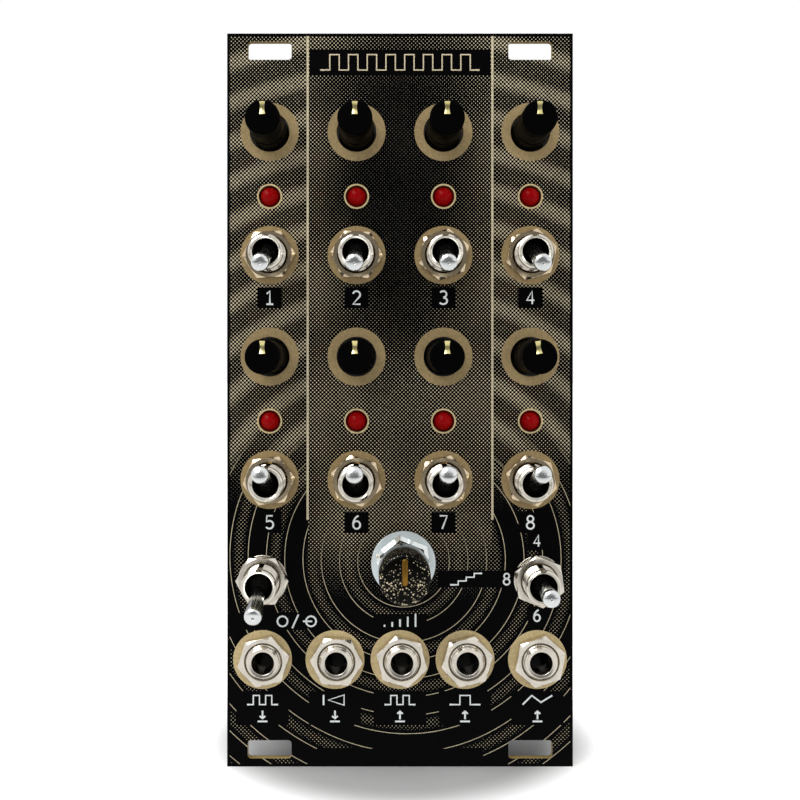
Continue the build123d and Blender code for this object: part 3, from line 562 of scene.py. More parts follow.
# The plated and moulded finishes: how each is made, its group and colour, and its settings, with
# the size of its grain and the height of its bumps in millimetres
FINISHES = {
    # Electroplated nickel gives a warm mirror, a little cloudy and hazed by handling
    "nickel_plate": (plated, "metal", "nickel", dict(roughness=0.14, height=0.0015)),
    # Nickel whose colour is tinted golden, a painted reflection of the tan board, gives the step switches'
    # nuts a warm mirror
    "worn_nickel_on_brass": (
        plated, "metal", "worn", dict(roughness=0.14, grain=0.6, spread=0.08, shade=0.8)
    ),
    # Bright plating on a turned lever gives the clearest, whitest mirror of the module
    "bright_plate": (
        plated, "metal", "bat", dict(roughness=0.12, grain=0.6, spread=0.06, shade=0.9, height=0.001)
    ),
    # Bright zinc gives a cool, soft shine
    "bright_zinc": (plated, "metal", "zinc", dict(roughness=0.4, grain=0.3, spread=0.1, shade=0.9)),
    # Tumbled zinc gives an even, cool grey with hardly a highlight
    "matt_zinc": (plated, "metal", "zinc", dict(roughness=0.55, grain=0.3, spread=0.1, shade=0.92)),
    # Dull gilt, filed flat, gives a brown gold bar that is uneven along its length
    "dull_gold_insert": (plated, "metal", "brass", dict(roughness=0.3, spread=0.1, shade=0.6)),
    # Pale gilt gives a bright cream and gold glint at the end of a knob
    "pale_gilt_insert": (plated, "resin", "insert", dict(roughness=0.2, grain=0.3, spread=0.08, shade=0.85)),
    # Zinc-plated pressed sheet gives a soft grey shine with faint clouds
    "zinc_plated_sheet": (plated, "metal", "tin", dict(roughness=0.3, grain=0.3, spread=0.15, shade=0.8)),
    # Tinned copper wire gives a bright, slightly yellow grey
    "tinned_wire": (plated, "metal", "tin", dict(roughness=0.22, grain=0.3, spread=0.1, shade=0.85)),
    # Solder that has set gives shiny cones with duller patches
    "tin_solder": (plated, "metal", "solder", dict(roughness=0.22, grain=0.4, spread=0.15, shade=0.85)),
    # Gold plate gives warm, small glints on the pins
    "gold_plate": (plated, "metal", "gold", dict(roughness=0.2, grain=0.3, spread=0.1, shade=0.85)),
    # Spun aluminium gives the cans' tops a pale, soft shine
    "spun_aluminium": (plated, "metal", "aluminium", dict(roughness=0.3, grain=0.4)),
    # Screen-printed ink gives flat, cool white strokes with a chalky grain
    "silkscreen_ink": (moulded, "panel", "ink", dict(roughness=0.5, grain=0.12)),
    # Bare board inside the print gives tan strokes without shine
    "bare_board_line": (moulded, "panel", "title", dict(roughness=0.5, grain=0.12)),
    # Solder mask over copper gives tracks a shade lighter and glossier than the board
    "mask_over_copper": (
        moulded, "panel", "track", dict(roughness=0.28, grain=0.4, height=0.002, sheen=0.35)
    ),
    # Black moulded nylon gives the knobs a deep, nearly lightless black
    "black_moulded_nylon": (moulded, "resin", "knob", dict(roughness=0.4, grain=0.3, sheen=0.01)),
    # The levers' balls are coloured near black, painted shade of the deep bushing bore, with a faint shine
    "black_oxide_ball": (moulded, "resin", "knob", dict(roughness=0.4, grain=0.6, height=0.001, sheen=0.06)),
    # Tinted epoxy gives a smooth red lens, dark when unlit, with one soft highlight
    "red_resin_lens": (moulded, "resin", "lamp", dict(roughness=0.22, grain=0.8, height=0.001, sheen=0.06)),
    # Moulded polyamide gives jacks and connectors a satin black with a fine grain
    "black_polyamide": (moulded, "resin", "black", dict(roughness=0.45, grain=0.2)),
    # Moulded phenolic gives the switch cases a satin dark blue
    "blue_moulded_phenolic": (moulded, "resin", "case", dict(roughness=0.4, grain=0.2)),
    # The same in black gives pot bases and sockets a dull, dry look
    "dark_moulded_phenolic": (moulded, "resin", "pot", dict(roughness=0.5, grain=0.2)),
    # Moulded epoxy gives the chips a dry dark grey with a visible grain
    "moulded_chip_epoxy": (
        moulded, "resin", "chip", dict(roughness=0.6, grain=0.12, height=0.006, sheen=0.3)
    ),
    # Shrunk film gives the cans a smooth, glossy dark blue
    "shrink_sleeve": (moulded, "resin", "sleeve", dict(roughness=0.3, grain=0.5, sheen=0.4)),
    # Pale ink on the same film gives the stripe along each can
    "sleeve_stripe": (moulded, "resin", "stripe", dict(roughness=0.3, grain=0.5)),
    # Dipped resin gives the disc capacitors a thick, uneven gloss
    "dipped_coat": (moulded, "resin", "dip", dict(roughness=0.3, grain=0.9, height=0.03, coat=0.4)),
}


def finish(name):
    """A plated or moulded finish by its name, made where it is first used."""
    if name in bpy.data.materials:
        return bpy.data.materials[name]
    make, group, colour_name, settings = FINISHES[name]
    return make(name, getattr(getattr(bpy.context.scene, f"module_{group}"), colour_name), **settings)


def joined(tree, masks, operation="MAXIMUM"):
    """A whole list of masks as one, by a chain of nodes."""
    whole = masks[0]
    for mask in masks[1:]:
        whole = add_node(tree, "ShaderNodeMath", {0: whole, 1: mask}, operation=operation)
    return whole


def row_distance(tree, z, upper, lower):
    """Distance up or down to the nearer of two rows."""
    away = add_node(tree, "ShaderNodeMath", {0: z, 1: (upper + lower) / 2}, operation="SUBTRACT")
    away = add_node(tree, "ShaderNodeMath", {0: away}, operation="ABSOLUTE")
    return add_node(tree, "ShaderNodeMath", {0: away, 1: (upper - lower) / 2}, operation="SUBTRACT")


def within(tree, across, up, radius):
    """One inside a radius round the places that two distances are measured to."""
    both = add_node(tree, "ShaderNodeCombineXYZ", {0: across, 1: up})
    far = add_node(tree, "ShaderNodeVectorMath", {0: both}, operation="LENGTH")
    return add_node(tree, "ShaderNodeMath", {0: far.outputs["Value"], 1: radius}, operation="LESS_THAN")


def box(tree, across, up, half_width, half_height, centre_x=0.0, centre_z=0.0):
    """One inside a box, on coordinates or on the distances to several places."""
    wide = add_node(
        tree, "ShaderNodeMath", {0: across, 1: centre_x, 2: half_width}, operation="COMPARE"
    )
    high = add_node(tree, "ShaderNodeMath", {0: up, 1: centre_z, 2: half_height}, operation="COMPARE")
    return add_node(tree, "ShaderNodeMath", {0: wide, 1: high}, operation="MULTIPLY")


def ring_scale(gap):
    """The scale of a wave pattern whose rings are a distance apart in millimetres."""
    return TURN / 20 / gap


def print_tones(tree, scaled, across, z, line_x):
    """How bare the print is: rippled margins, a darker middle and a nearly black foot with lines."""
    rate = joint_points["rate_control"] / MM
    from_rate = add_node(
        tree, "ShaderNodeMapping",
        {"Vector": scaled, "Location": (-rate.x, 0, -rate.z), "Scale": (1, 0, 1)},
    )
    waves = []
    for gap, distortion, detail in ((21, 1.6, 0.6), (6.4, 2.4, 0.25)):
        waves.append(add_node(
            tree, "ShaderNodeTexWave",
            {"Vector": from_rate, "Scale": ring_scale(gap), "Distortion": distortion, "Detail": 1.0,
             "Detail Scale": detail},
            wave_type="RINGS", rings_direction="SPHERICAL",
        ))
    broad, fine = waves
    margin = add_node(
        tree, "ShaderNodeMapRange", {"Value": across, "From Min": line_x - 0.2, "From Max": line_x + 0.2}
    )

    # The middle: clouds and broad ripples, darkest in the upper half between the controls
    cloud = add_node(tree, "ShaderNodeTexNoise", {"Vector": scaled, "Scale": 0.07, "Detail": 2})
    cloud = add_node(tree, "ShaderNodeMath", {0: cloud, 1: 0.24, 2: -0.12}, operation="MULTIPLY_ADD")
    tone = add_node(tree, "ShaderNodeMath", {0: broad, 1: 0.1, 2: 0.18}, operation="MULTIPLY_ADD")
    tone = add_node(tree, "ShaderNodeMath", {0: tone, 1: cloud}, operation="ADD")
    crown = add_node(
        tree, "ShaderNodeMapping",
        {"Vector": scaled, "Location": (0, 0, -1.2), "Scale": (0.075, 0, 0.032)},
    )
    crown = add_node(tree, "ShaderNodeVectorMath", {0: crown}, operation="LENGTH")
    crown = add_node(
        tree, "ShaderNodeMapRange",
        {"Value": crown.outputs["Value"], "From Min": 0.45, "From Max": 1.45, "To Min": 0.12, "To Max": 1.05},
        interpolation_type="SMOOTHSTEP",
    )
    tone = add_node(tree, "ShaderNodeMath", {0: tone, 1: crown}, operation="MULTIPLY")

    # The margins: fine ripples
    streaks = add_node(
        tree, "ShaderNodeMapRange",
        {"Value": fine, "From Min": 0.3, "From Max": 0.95, "To Min": 0.17, "To Max": 0.42},
    )
    tone = add_node(tree, "ShaderNodeMix", {"Factor": margin, 2: tone, 3: streaks}, data_type="FLOAT")

    # The foot, which starts higher in the margins
    sunk = add_node(tree, "ShaderNodeMath", {0: margin, 1: -16.0, 2: z}, operation="MULTIPLY_ADD")
    foot = add_node(
        tree, "ShaderNodeMapRange", {"Value": sunk, "From Min": -20, "From Max": -36},
        interpolation_type="SMOOTHSTEP",
    )
    low_tone = add_node(
        tree, "ShaderNodeMapRange",
        {"Value": fine, "From Min": 0.75, "From Max": 1.0, "To Min": 0.0, "To Max": 0.14},
    )
    tone = add_node(tree, "ShaderNodeMix", {"Factor": foot, 2: tone, 3: low_tone}, data_type="FLOAT")
    low_line = add_node(tree, "ShaderNodeMath", {0: fine, 1: 0.5, 2: 0.026}, operation="COMPARE")
    low_line = add_node(tree, "ShaderNodeMath", {0: low_line, 1: foot}, operation="MULTIPLY")
    return tone, low_line


def printed_lacquer(sizes, colours):
    """Black lacquer over glass fibre: bare rings at the controls and a print of bare dots."""
    # Lacquer on a circuit board gives a flat black; the bare fibre beside it is tan, matt and woven
    material, tree, shader, place = new_finish(
        "black_lacquer_on_glass_fibre", IOR=1.5, Specular_IOR_Level=0.03
    )
    scaled = add_node(tree, "ShaderNodeMapping", {"Vector": place, "Scale": (1 / MM,) * 3})
    parts = add_node(tree, "ShaderNodeSeparateXYZ", {0: scaled})
    x, y, z = parts.outputs["X"], parts.outputs["Y"], parts.outputs["Z"]
    knobs = [joint_points[f"step_knob_{number}"] / MM for number in step_numbers]
    levers = [joint_points[f"step_lever_{number}"] / MM for number in step_numbers]
    lamps = centres_of("step_lamps")
    jacks = centres_of("jack_bushings")
    half_pitch = (knobs[1].x - knobs[0].x) / 2

    # Distance across to the nearest column and to the nearest jack
    column = add_node(tree, "ShaderNodeMath", {0: x, 1: half_pitch}, operation="PINGPONG")
    column = add_node(tree, "ShaderNodeMath", {0: half_pitch, 1: column}, operation="SUBTRACT")
    aways = []
    for point in jacks:
        away = add_node(tree, "ShaderNodeMath", {0: x, 1: point.x - SIGN_SHIFT}, operation="SUBTRACT")
        aways.append(add_node(tree, "ShaderNodeMath", {0: away}, operation="ABSOLUTE"))
    jack = joined(tree, aways, "MINIMUM")
    up_jack = add_node(tree, "ShaderNodeMath", {0: z, 1: jacks[0].z}, operation="SUBTRACT")

    # Bare rings, and the black boxes behind the numbers and signs
    knob_row, lever_row, lamp_row, number_row = [
        row_distance(tree, z, row[0].z - drop, row[-1].z - drop)
        for row, drop in ((knobs, 0), (levers, 0), (lamps, 0), (levers, DIGIT_DROP))
    ]
    rings = joined(tree, [
        within(tree, column, knob_row, sizes.ring_radius / MM),
        within(tree, column, lever_row, sizes.ring_radius / MM),
    ])
    jack_rings = joined(tree, [
        within(tree, jack, up_jack, sizes.jack_ring_radius / MM),
        within(tree, column, lamp_row, sizes.lamp_ring_radius / MM),
    ])
    boxes = joined(tree, [
        box(tree, column, number_row, *NUMBER_BOX),
        *[box(tree, x, z, wide, high, at_x, at_z) for at_x, at_z, wide, high in LABEL_BOXES],
        box(tree, jack, z, *JACK_BOX, 0.0, jacks[0].z - JACK_BOX_DROP),
    ])

    # Round dots on a diagonal grid that grow until they meet, like a newspaper's
    across = add_node(tree, "ShaderNodeMath", {0: x}, operation="ABSOLUTE")
    tone, low_line = print_tones(tree, scaled, across, z, sizes.line_x / MM)
    waves = []
    for axis in (x, z):
        phase = add_node(
            tree, "ShaderNodeMath", {0: axis, 1: TURN / (sizes.dot_pitch / MM)}, operation="MULTIPLY"
        )
        waves.append(add_node(tree, "ShaderNodeMath", {0: phase}, operation="COSINE"))
    level = add_node(tree, "ShaderNodeMath", {0: tone, 1: -2.0, 2: 1.0}, operation="MULTIPLY_ADD")
    dots = add_node(
        tree, "ShaderNodeMath", {0: joined(tree, waves, "MULTIPLY"), 1: level}, operation="GREATER_THAN"
    )

    # The two upright lines, which end above the foot, then everything kept off boxes and rim
    line = add_node(
        tree, "ShaderNodeMath", {0: across, 1: sizes.line_x / MM, 2: sizes.line_width / MM / 2},
        operation="COMPARE",
    )
    above_foot = add_node(tree, "ShaderNodeMath", {0: z, 1: LINES_END}, operation="GREATER_THAN")
    line = add_node(tree, "ShaderNodeMath", {0: line, 1: above_foot}, operation="MULTIPLY")
    dots = joined(tree, [dots, line, low_line])
    clear = add_node(tree, "ShaderNodeMath", {0: 1.0, 1: boxes}, operation="SUBTRACT")
    rim = box(tree, x, z, panel_high.x / MM - RIM_WIDTH, panel_high.z / MM - RIM_WIDTH)
    front = add_node(tree, "ShaderNodeMath", {0: y, 1: 0.01 - panel_face}, operation="LESS_THAN")
    dots = joined(tree, [dots, clear, rim, front], "MULTIPLY")
    rings = add_node(tree, "ShaderNodeMath", {0: rings, 1: front}, operation="MULTIPLY")
    jack_rings = add_node(tree, "ShaderNodeMath", {0: jack_rings, 1: front}, operation="MULTIPLY")

    # Board core where the edge shows, and a fine weave in the bare board
    side = add_node(
        tree, "ShaderNodeMath", {0: y, 1: -panel_face / 2, 2: panel_face / 2 - 0.06}, operation="COMPARE"
    )
    weave = add_node(
        tree, "ShaderNodeTexNoise", {"Vector": scaled, "Scale": 1 / 0.5, "Detail": 3, "Roughness": 0.6}
    )
    shade = add_node(
        tree, "ShaderNodeMapRange",
        {"Value": weave, "From Min": 0.25, "From Max": 0.75, "To Min": 0.78, "To Max": 1.14},
    )
    surface = tuple(colours.lacquer)
    for mask, tan in (
        (side, colours.core), (dots, colours.dot), (rings, colours.bare), (jack_rings, colours.bare_jack)
    ):
        surface = add_node(
            tree, "ShaderNodeMix", {"Factor": mask, 6: surface, 7: tuple(tan)}, data_type="RGBA"
        ).outputs[2]
    surface = add_node(
        tree, "ShaderNodeMix", {"Factor": 1.0, 6: surface, 7: shade}, data_type="RGBA", blend_type="MULTIPLY"
    ).outputs[2]
    tree.links.new(surface, shader.inputs["Base Color"])
    bare = joined(tree, [dots, rings, jack_rings, side])
    rough = add_node(tree, "ShaderNodeMapRange", {"Value": bare, "To Min": 0.38, "To Max": 0.55})
    tree.links.new(rough.outputs[0], shader.inputs["Roughness"])
    relief = add_node(tree, "ShaderNodeMath", {0: weave, 1: 0.25, 2: bare}, operation="MULTIPLY_ADD")
    bump = add_node(tree, "ShaderNodeBump", {"Height": relief, "Distance": -0.02 * MM, "Strength": 0.35})
    tree.links.new(bump.outputs[0], shader.inputs["Normal"])
    return material


# Numbers and signs of the panel, in millimetres from its middle

LINES_END = -21.0    # where the two upright lines stop
RIM_WIDTH = 0.45     # black rim that the print leaves
DIGIT_DROP = 7.45
TITLE_PLACE = (0.0, 59.2)
MODE_SIGN_PLACE = (-20.6, -38.8)
RATE_SIGN_PLACE = (0.0, -38.9)
STAIRS_PLACE = (11.6, -31.4)
LENGTH_DIGITS = {"4": (24.0, -24.7), "6": (24.0, -37.8), "8": (18.7, -31.4)}
SMALL_DIGIT = 0.86   # height of the length switch's numbers as a share of a step's
TITLE_WIDTH = 27.9
SIGN_DROP = 7.1      # from a jack down to its sign, and further down to its arrow
ARROW_DROP = 9.9

# Black boxes without dots, as half widths and half heights, the labels' with their middles first
NUMBER_BOX = (2.15, 1.8)
JACK_BOX = (4.6, 3.0)
JACK_BOX_DROP = 8.5
LABEL_BOXES = [
    (*TITLE_PLACE, 15.9, 2.3),
    (-23.3, -38.8, 7.1, 1.5),
    (*RATE_SIGN_PLACE, 4.7, 1.4),
    (13.5, -31.4, 7.0, 1.5),
    (24.0, -24.7, 1.6, 1.6),
    (24.0, -37.8, 1.6, 1.6),
    (0.0, -63.0, 14.6, 1.9),
]


def arc(x, y, radius_x, radius_y, start, end, steps=12):
    """Points along an ellipse between two angles in degrees."""
    angles = [math.radians(start + (end - start) * step / steps) for step in range(steps + 1)]
    return [(x + radius_x * math.cos(angle), y + radius_y * math.sin(angle)) for angle in angles]


# Strokes of the numbers in a cell 0.6 wide and 1 high
HALF_CELL = 0.3
DIGITS = {
    "1": [[(0.08, 0.78), (0.32, 1.0), (0.32, 0.0)], [(0.06, 0.0), (0.58, 0.0)]],
    "2": [[*arc(0.3, 0.72, 0.27, 0.28, 165, -35), (0.02, 0.0), (0.6, 0.0)]],
    "3": [arc(0.28, 0.76, 0.25, 0.24, 150, -90), arc(0.28, 0.25, 0.3, 0.25, 90, -150)],
    "4": [[(0.44, 0.0), (0.44, 1.0), (0.02, 0.3), (0.6, 0.3)]],
    "5": [[(0.54, 1.0), (0.1, 1.0), (0.06, 0.55), *arc(0.28, 0.32, 0.3, 0.3, 115, -145)]],
    "6": [arc(0.31, 0.3, 0.27, 0.3, 0, 360), arc(0.6, 0.32, 0.56, 0.7, 180, 105)],
    "7": [[(0.02, 1.0), (0.58, 1.0), (0.2, 0.0)]],
    "8": [arc(0.3, 0.77, 0.23, 0.23, 0, 360), arc(0.3, 0.26, 0.28, 0.26, 0, 360)],
}
ARROW_IN = [[(-0.9, -1.0), (0.9, -1.0)], [(0, 1.0), (0, -0.5)], [(-0.5, 0.0), (0, -0.5), (0.5, 0.0)]]
ARROW_OUT = [[(-0.9, -1.0), (0.9, -1.0)], [(0, -0.6), (0, 0.9)], [(-0.5, 0.4), (0, 0.9), (0.5, 0.4)]]


def pulses(count, width, height):
    """One stroke of square pulses that starts and ends low."""
    stroke = [(-width / 2, -height / 2)]
    step = width / (2 * count + 1)
    for number in range(count):
        left = -width / 2 + step * (2 * number + 1)
        right = left + step
        stroke += [(left, -height / 2), (left, height / 2), (right, height / 2), (right, -height / 2)]
    return [stroke + [(width / 2, -height / 2)]]


def placed(strokes, place, scale=1.0):
    """Strokes moved to a place and scaled about it."""
    return [[(place[0] + x * scale, place[1] + y * scale) for x, y in stroke] for stroke in strokes]


# A row of steps, ticks that grow, a ring beside a barred ring, and the signs over the jacks' arrows
STAIRS = [
    (-2.8, -1.0), (-1.4, -1.0), (-1.4, -0.33), (0.0, -0.33), (0.0, 0.33), (1.4, 0.33), (1.4, 1.0), (2.8, 1.0),
]
TICKS = [[(x, -1.0), (x, -0.6 + 0.35 * (x + 3.2))] for x in (-3.2, -1.6, 0.0, 1.6, 3.2)]
MODES = [
    arc(0, 0, 0.9, 0.9, 0, 360), [(1.7, -1.2), (2.8, 1.2)],
    arc(5.0, 0, 0.9, 0.9, 0, 360), [(3.6, 0), (5.2, 0)],
]
JACK_SIGNS = [
    pulses(2, 5.4, 1.6),
    [[(-2.0, -0.9), (-2.0, 0.9)], [(1.6, -0.9), (-1.2, 0.0), (1.6, 0.9), (1.6, -0.9)]],
    pulses(2, 5.4, 1.6),
    pulses(1, 5.4, 1.6),
    [[(-2.6, -0.8), (-1.0, 0.8), (0.6, -0.4), (2.6, 0.8)]],
]


def piped(paths, radius):
    """A form of round pipes along paths of X, Y, Z in millimetres, closed where a path's ends meet."""
    line = bpy.data.curves.new("paths", "CURVE")
    line.dimensions = "3D"
    line.bevel_depth = radius
    line.bevel_resolution = 1
    line.use_fill_caps = True
    for path in paths:
        closed = math.dist(path[0], path[-1]) < 0.001
        corners = path[:-1] if closed else path
        spline = line.splines.new("POLY")
        spline.points.add(len(corners) - 1)
        spline.use_cyclic_u = closed
        for point, (x, y, z) in zip(spline.points, corners):
            point.co = (x * MM, y * MM, z * MM, 1)
    drawn = bpy.data.objects.new("paths", line)
    bpy.context.scene.collection.objects.link(drawn)
    bpy.context.view_layer.update()
    mesh = bpy.data.meshes.new_from_object(drawn.evaluated_get(bpy.context.evaluated_depsgraph_get()))
    bpy.data.objects.remove(drawn)
    form = bmesh.new()
    form.from_mesh(mesh)
    bpy.data.meshes.remove(mesh)
    bmesh.ops.remove_doubles(form, verts=form.verts, dist=0.0005 * MM)
    return form


def drawn_strokes(strokes, width, height):
    """A form of thin rounded strokes that lie on a face."""
    form = piped([[(x, y, 0) for x, y in stroke] for stroke in strokes], width / 2)
    bmesh.ops.scale(form, vec=(1, 1, 2 * height / width), verts=form.verts)
    return form


def bent_wire(corners, radius):
    """A round wire along an outline in X and Z given as (x, z, rounding)."""
    return piped([[(x, 0, z) for x, z in rounded(corners, 4)]], radius * MM)


def ink_strokes(name, strokes, sizes, finish_name):
    """Strokes printed on the panel's face."""
    form = drawn_strokes(strokes, sizes.stroke, sizes.ink)
    add_piece(name, [(form, [on_front((0, 0), out=panel_face * MM)])], "module", finish(finish_name))


class ModuleOperator:
    """What the operators share: a place in the undo list."""

    bl_options = {"REGISTER", "UNDO"}


class MODULE_OT_panel(ModuleOperator, bpy.types.Operator):
    """Lacquer and print the panel"""

    bl_idname = "module.panel"
    bl_label = "Panel"

    def execute(self, context):
        dress("front_panel", printed_lacquer(context.scene.module_print, context.scene.module_panel))
        return {"FINISHED"}


class MODULE_OT_signs(ModuleOperator, bpy.types.Operator):
    """Print the numbers and signs"""

    bl_idname = "module.signs"
    bl_label = "Numbers And Signs"

    def execute(self, context):
        sizes = context.scene.module_print
        height = sizes.digit_height / MM
        digits, signs = [], []
        for number in step_numbers:
            point = joint_points[f"step_lever_{number}"] / MM
            corner = (point.x - HALF_CELL * height, point.z - DIGIT_DROP - height / 2)
            digits += placed(DIGITS[str(number)], corner, height)
        for digit, (x, z) in LENGTH_DIGITS.items():
            small = height * SMALL_DIGIT
            digits += placed(DIGITS[digit], (x - HALF_CELL * small, z - small / 2), small)
        signs += placed([STAIRS], STAIRS_PLACE)
        signs += placed(TICKS, RATE_SIGN_PLACE, 0.85)
        signs += placed(MODES, MODE_SIGN_PLACE)
        for number, (jack, sign) in enumerate(zip(centres_of("jack_bushings"), JACK_SIGNS)):
            signs += placed(sign, (jack.x - SIGN_SHIFT, jack.z - SIGN_DROP))
            arrow = ARROW_IN if number < 2 else ARROW_OUT
            signs += placed(arrow, (jack.x - SIGN_SHIFT, jack.z - ARROW_DROP), 0.95)
        title = placed(pulses(len(step_numbers), TITLE_WIDTH, sizes.title_height / MM), TITLE_PLACE)
        ink_strokes("panel_numbers", digits, sizes, "silkscreen_ink")
        ink_strokes("panel_signs", signs, sizes, "silkscreen_ink")
        ink_strokes("panel_title", title, sizes, "bare_board_line")
        return {"FINISHED"}


class MODULE_OT_step_knobs(ModuleOperator, bpy.types.Operator):
    """Model the step knobs and their inserts"""

    bl_idname = "module.step_knobs"
    bl_label = "Step Knobs"

    def execute(self, context):
        turned = context.scene.module_turned
        rotor_low, recess, insert_length, insert_width = 1.6, 0.55, 2.1, 0.96
        collar_high, groove_low, groove_high, cap_low = 5.55, 5.62, 5.8, 5.9
        for number in step_numbers:
            name, pointer = f"step_knob_{number}", f"step_pointer_{number}"
            low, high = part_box(name)
            axis = joint_points[name]
            top, foot = -low.y / MM, -high.y / MM + rotor_low
            collar = (high.z - low.z) / 2 / MM
            cap = collar - 0.1
            groove = cap - 0.12
            insert_top = cap - 0.3
            heading = middle(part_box(pointer)) - axis
            place = on_front(flat(axis), -math.atan2(heading.x, heading.z))
            body = lathe([
                (0, foot, 0), (collar, foot, 0), (collar, collar_high, 0.08), (groove, groove_low, 0),
                (groove, groove_high, 0), (cap, cap_low, 0.05), (cap, top, turned.knob_round / MM),
                (0, top, 0),
            ], turned.steps)
            recess_low = insert_top - insert_length - 0.05
            cut_recess(body, [(-0.53, recess_low, 0.53, insert_top + 0.05)], top, recess)
            rotor = block(6.8, 3.0, foot - rotor_low, foot, 0.1)
            forms = [(body, [place]), (rotor, [place])]
            resin = finish("black_moulded_nylon")
            add_piece(f"knob_{number}", forms, name, resin, [name])

            # The insert is waisted and hollow along its length
            insert = bmesh.new()
            bmesh.ops.create_grid(insert, x_segments=6, y_segments=14, size=0.5)
            bmesh.ops.scale(insert, vec=(insert_width * MM, insert_length * MM, 1), verts=insert.verts)
            raised = raise_faces(insert, recess + 0.01)
            for vert in insert.verts:
                along = vert.co.y / (insert_length / 2 * MM)
                vert.co.x *= 0.74 + 0.26 * along**2 + (0.1 if along < 0 else 0) * along**2
                if vert in raised:
                    across = vert.co.x / (insert_width / 2 * MM)
                    vert.co.z -= (0.3 * (1 - along**2) + 0.06 * across**2) * MM
            seat = (0, (insert_top - insert_length / 2) * MM, (top - recess + 0.01) * MM)
            bmesh.ops.translate(insert, vec=seat, verts=insert.verts)
            gilt = finish("pale_gilt_insert")
            add_piece(f"insert_{number}", [(insert, [place])], name, gilt, [pointer])
        return {"FINISHED"}


class MODULE_OT_rate_control(ModuleOperator, bpy.types.Operator):
    """Model the rate pot's nut, bushing, knob and insert"""

    bl_idname = "module.rate_control"
    bl_label = "Rate Control"

    def execute(self, context):
        turned = context.scene.module_turned
        axis = joint_points["rate_control"]
        place = on_front(flat(axis))
        nut = nut_form_of(solids_of("rate_pot_nut")[0], turned.rate_bevel, turned.rate_bevel / 2)
        add_piece("rate_nut", [nut], "module", finish("bright_zinc"), ["rate_pot_nut"], 20)
        low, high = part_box("rate_pot_bushing")
        radius, mouth, thread_low = (high.x - low.x) / 2 / MM, 3.06, 3.0
        bushing = threaded_bushing(
            radius, mouth, -high.y / MM, -low.y / MM, turned.switch_pitch / MM, turned, thread_low
        )
        nickel = finish("nickel_plate")
        add_piece("rate_bushing", [(bushing, [place])], "module", nickel, ["rate_pot_bushing"])

        low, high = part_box("rate_knob")
        base, top = -high.y / MM, -low.y / MM
        foot_radius = (high.x - low.x) / 2 / MM
        hole, shaft_top, recess = 3.0, top - 2.6, 0.5
        knob = lathe([
            (0, shaft_top, 0), (hole, shaft_top, 0), (hole, base, 0), (foot_radius, base, 0.12),
            (foot_radius - 0.16, top, turned.gloss_round / MM), (0, top, 0),
        ], turned.steps)
        cut_recess(knob, [(-0.52, -1.05, 0.52, 3.45)], top, recess)
        gloss = flecked_gloss(context.scene.module_resin, axis)
        add_piece("rate_cap", [(knob, [place])], "rate_control", gloss, ["rate_knob"])

        # The insert is a bar with round ends and a rounded upper rim
        low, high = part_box("rate_pointer")
        half_width, half_length = 0.475, 2.2
        bar = bmesh.new()
        bmesh.ops.create_circle(bar, cap_ends=True, segments=24, radius=half_width * MM)
        for vert in bar.verts:
            vert.co.y += math.copysign((half_length - half_width) * MM, vert.co.y)
        raised = raise_faces(bar, recess + 0.05)
        rim = [edge for edge in bar.edges if all(vert in raised for vert in edge.verts)]
        bmesh.ops.bevel(
            bar, geom=rim, offset=0.16 * MM, segments=3, affect="EDGES", profile=0.5, material=-1,
            clamp_overlap=True,
        )
        seat = (0, (low.z + high.z) / 2 - axis.z, (top - recess) * MM)
        bmesh.ops.translate(bar, vec=seat, verts=bar.verts)
        forms = [(bar, [place])]
        brass = finish("dull_gold_insert")
        add_piece("rate_insert", forms, "rate_control", brass, ["rate_pointer"])
        return {"FINISHED"}


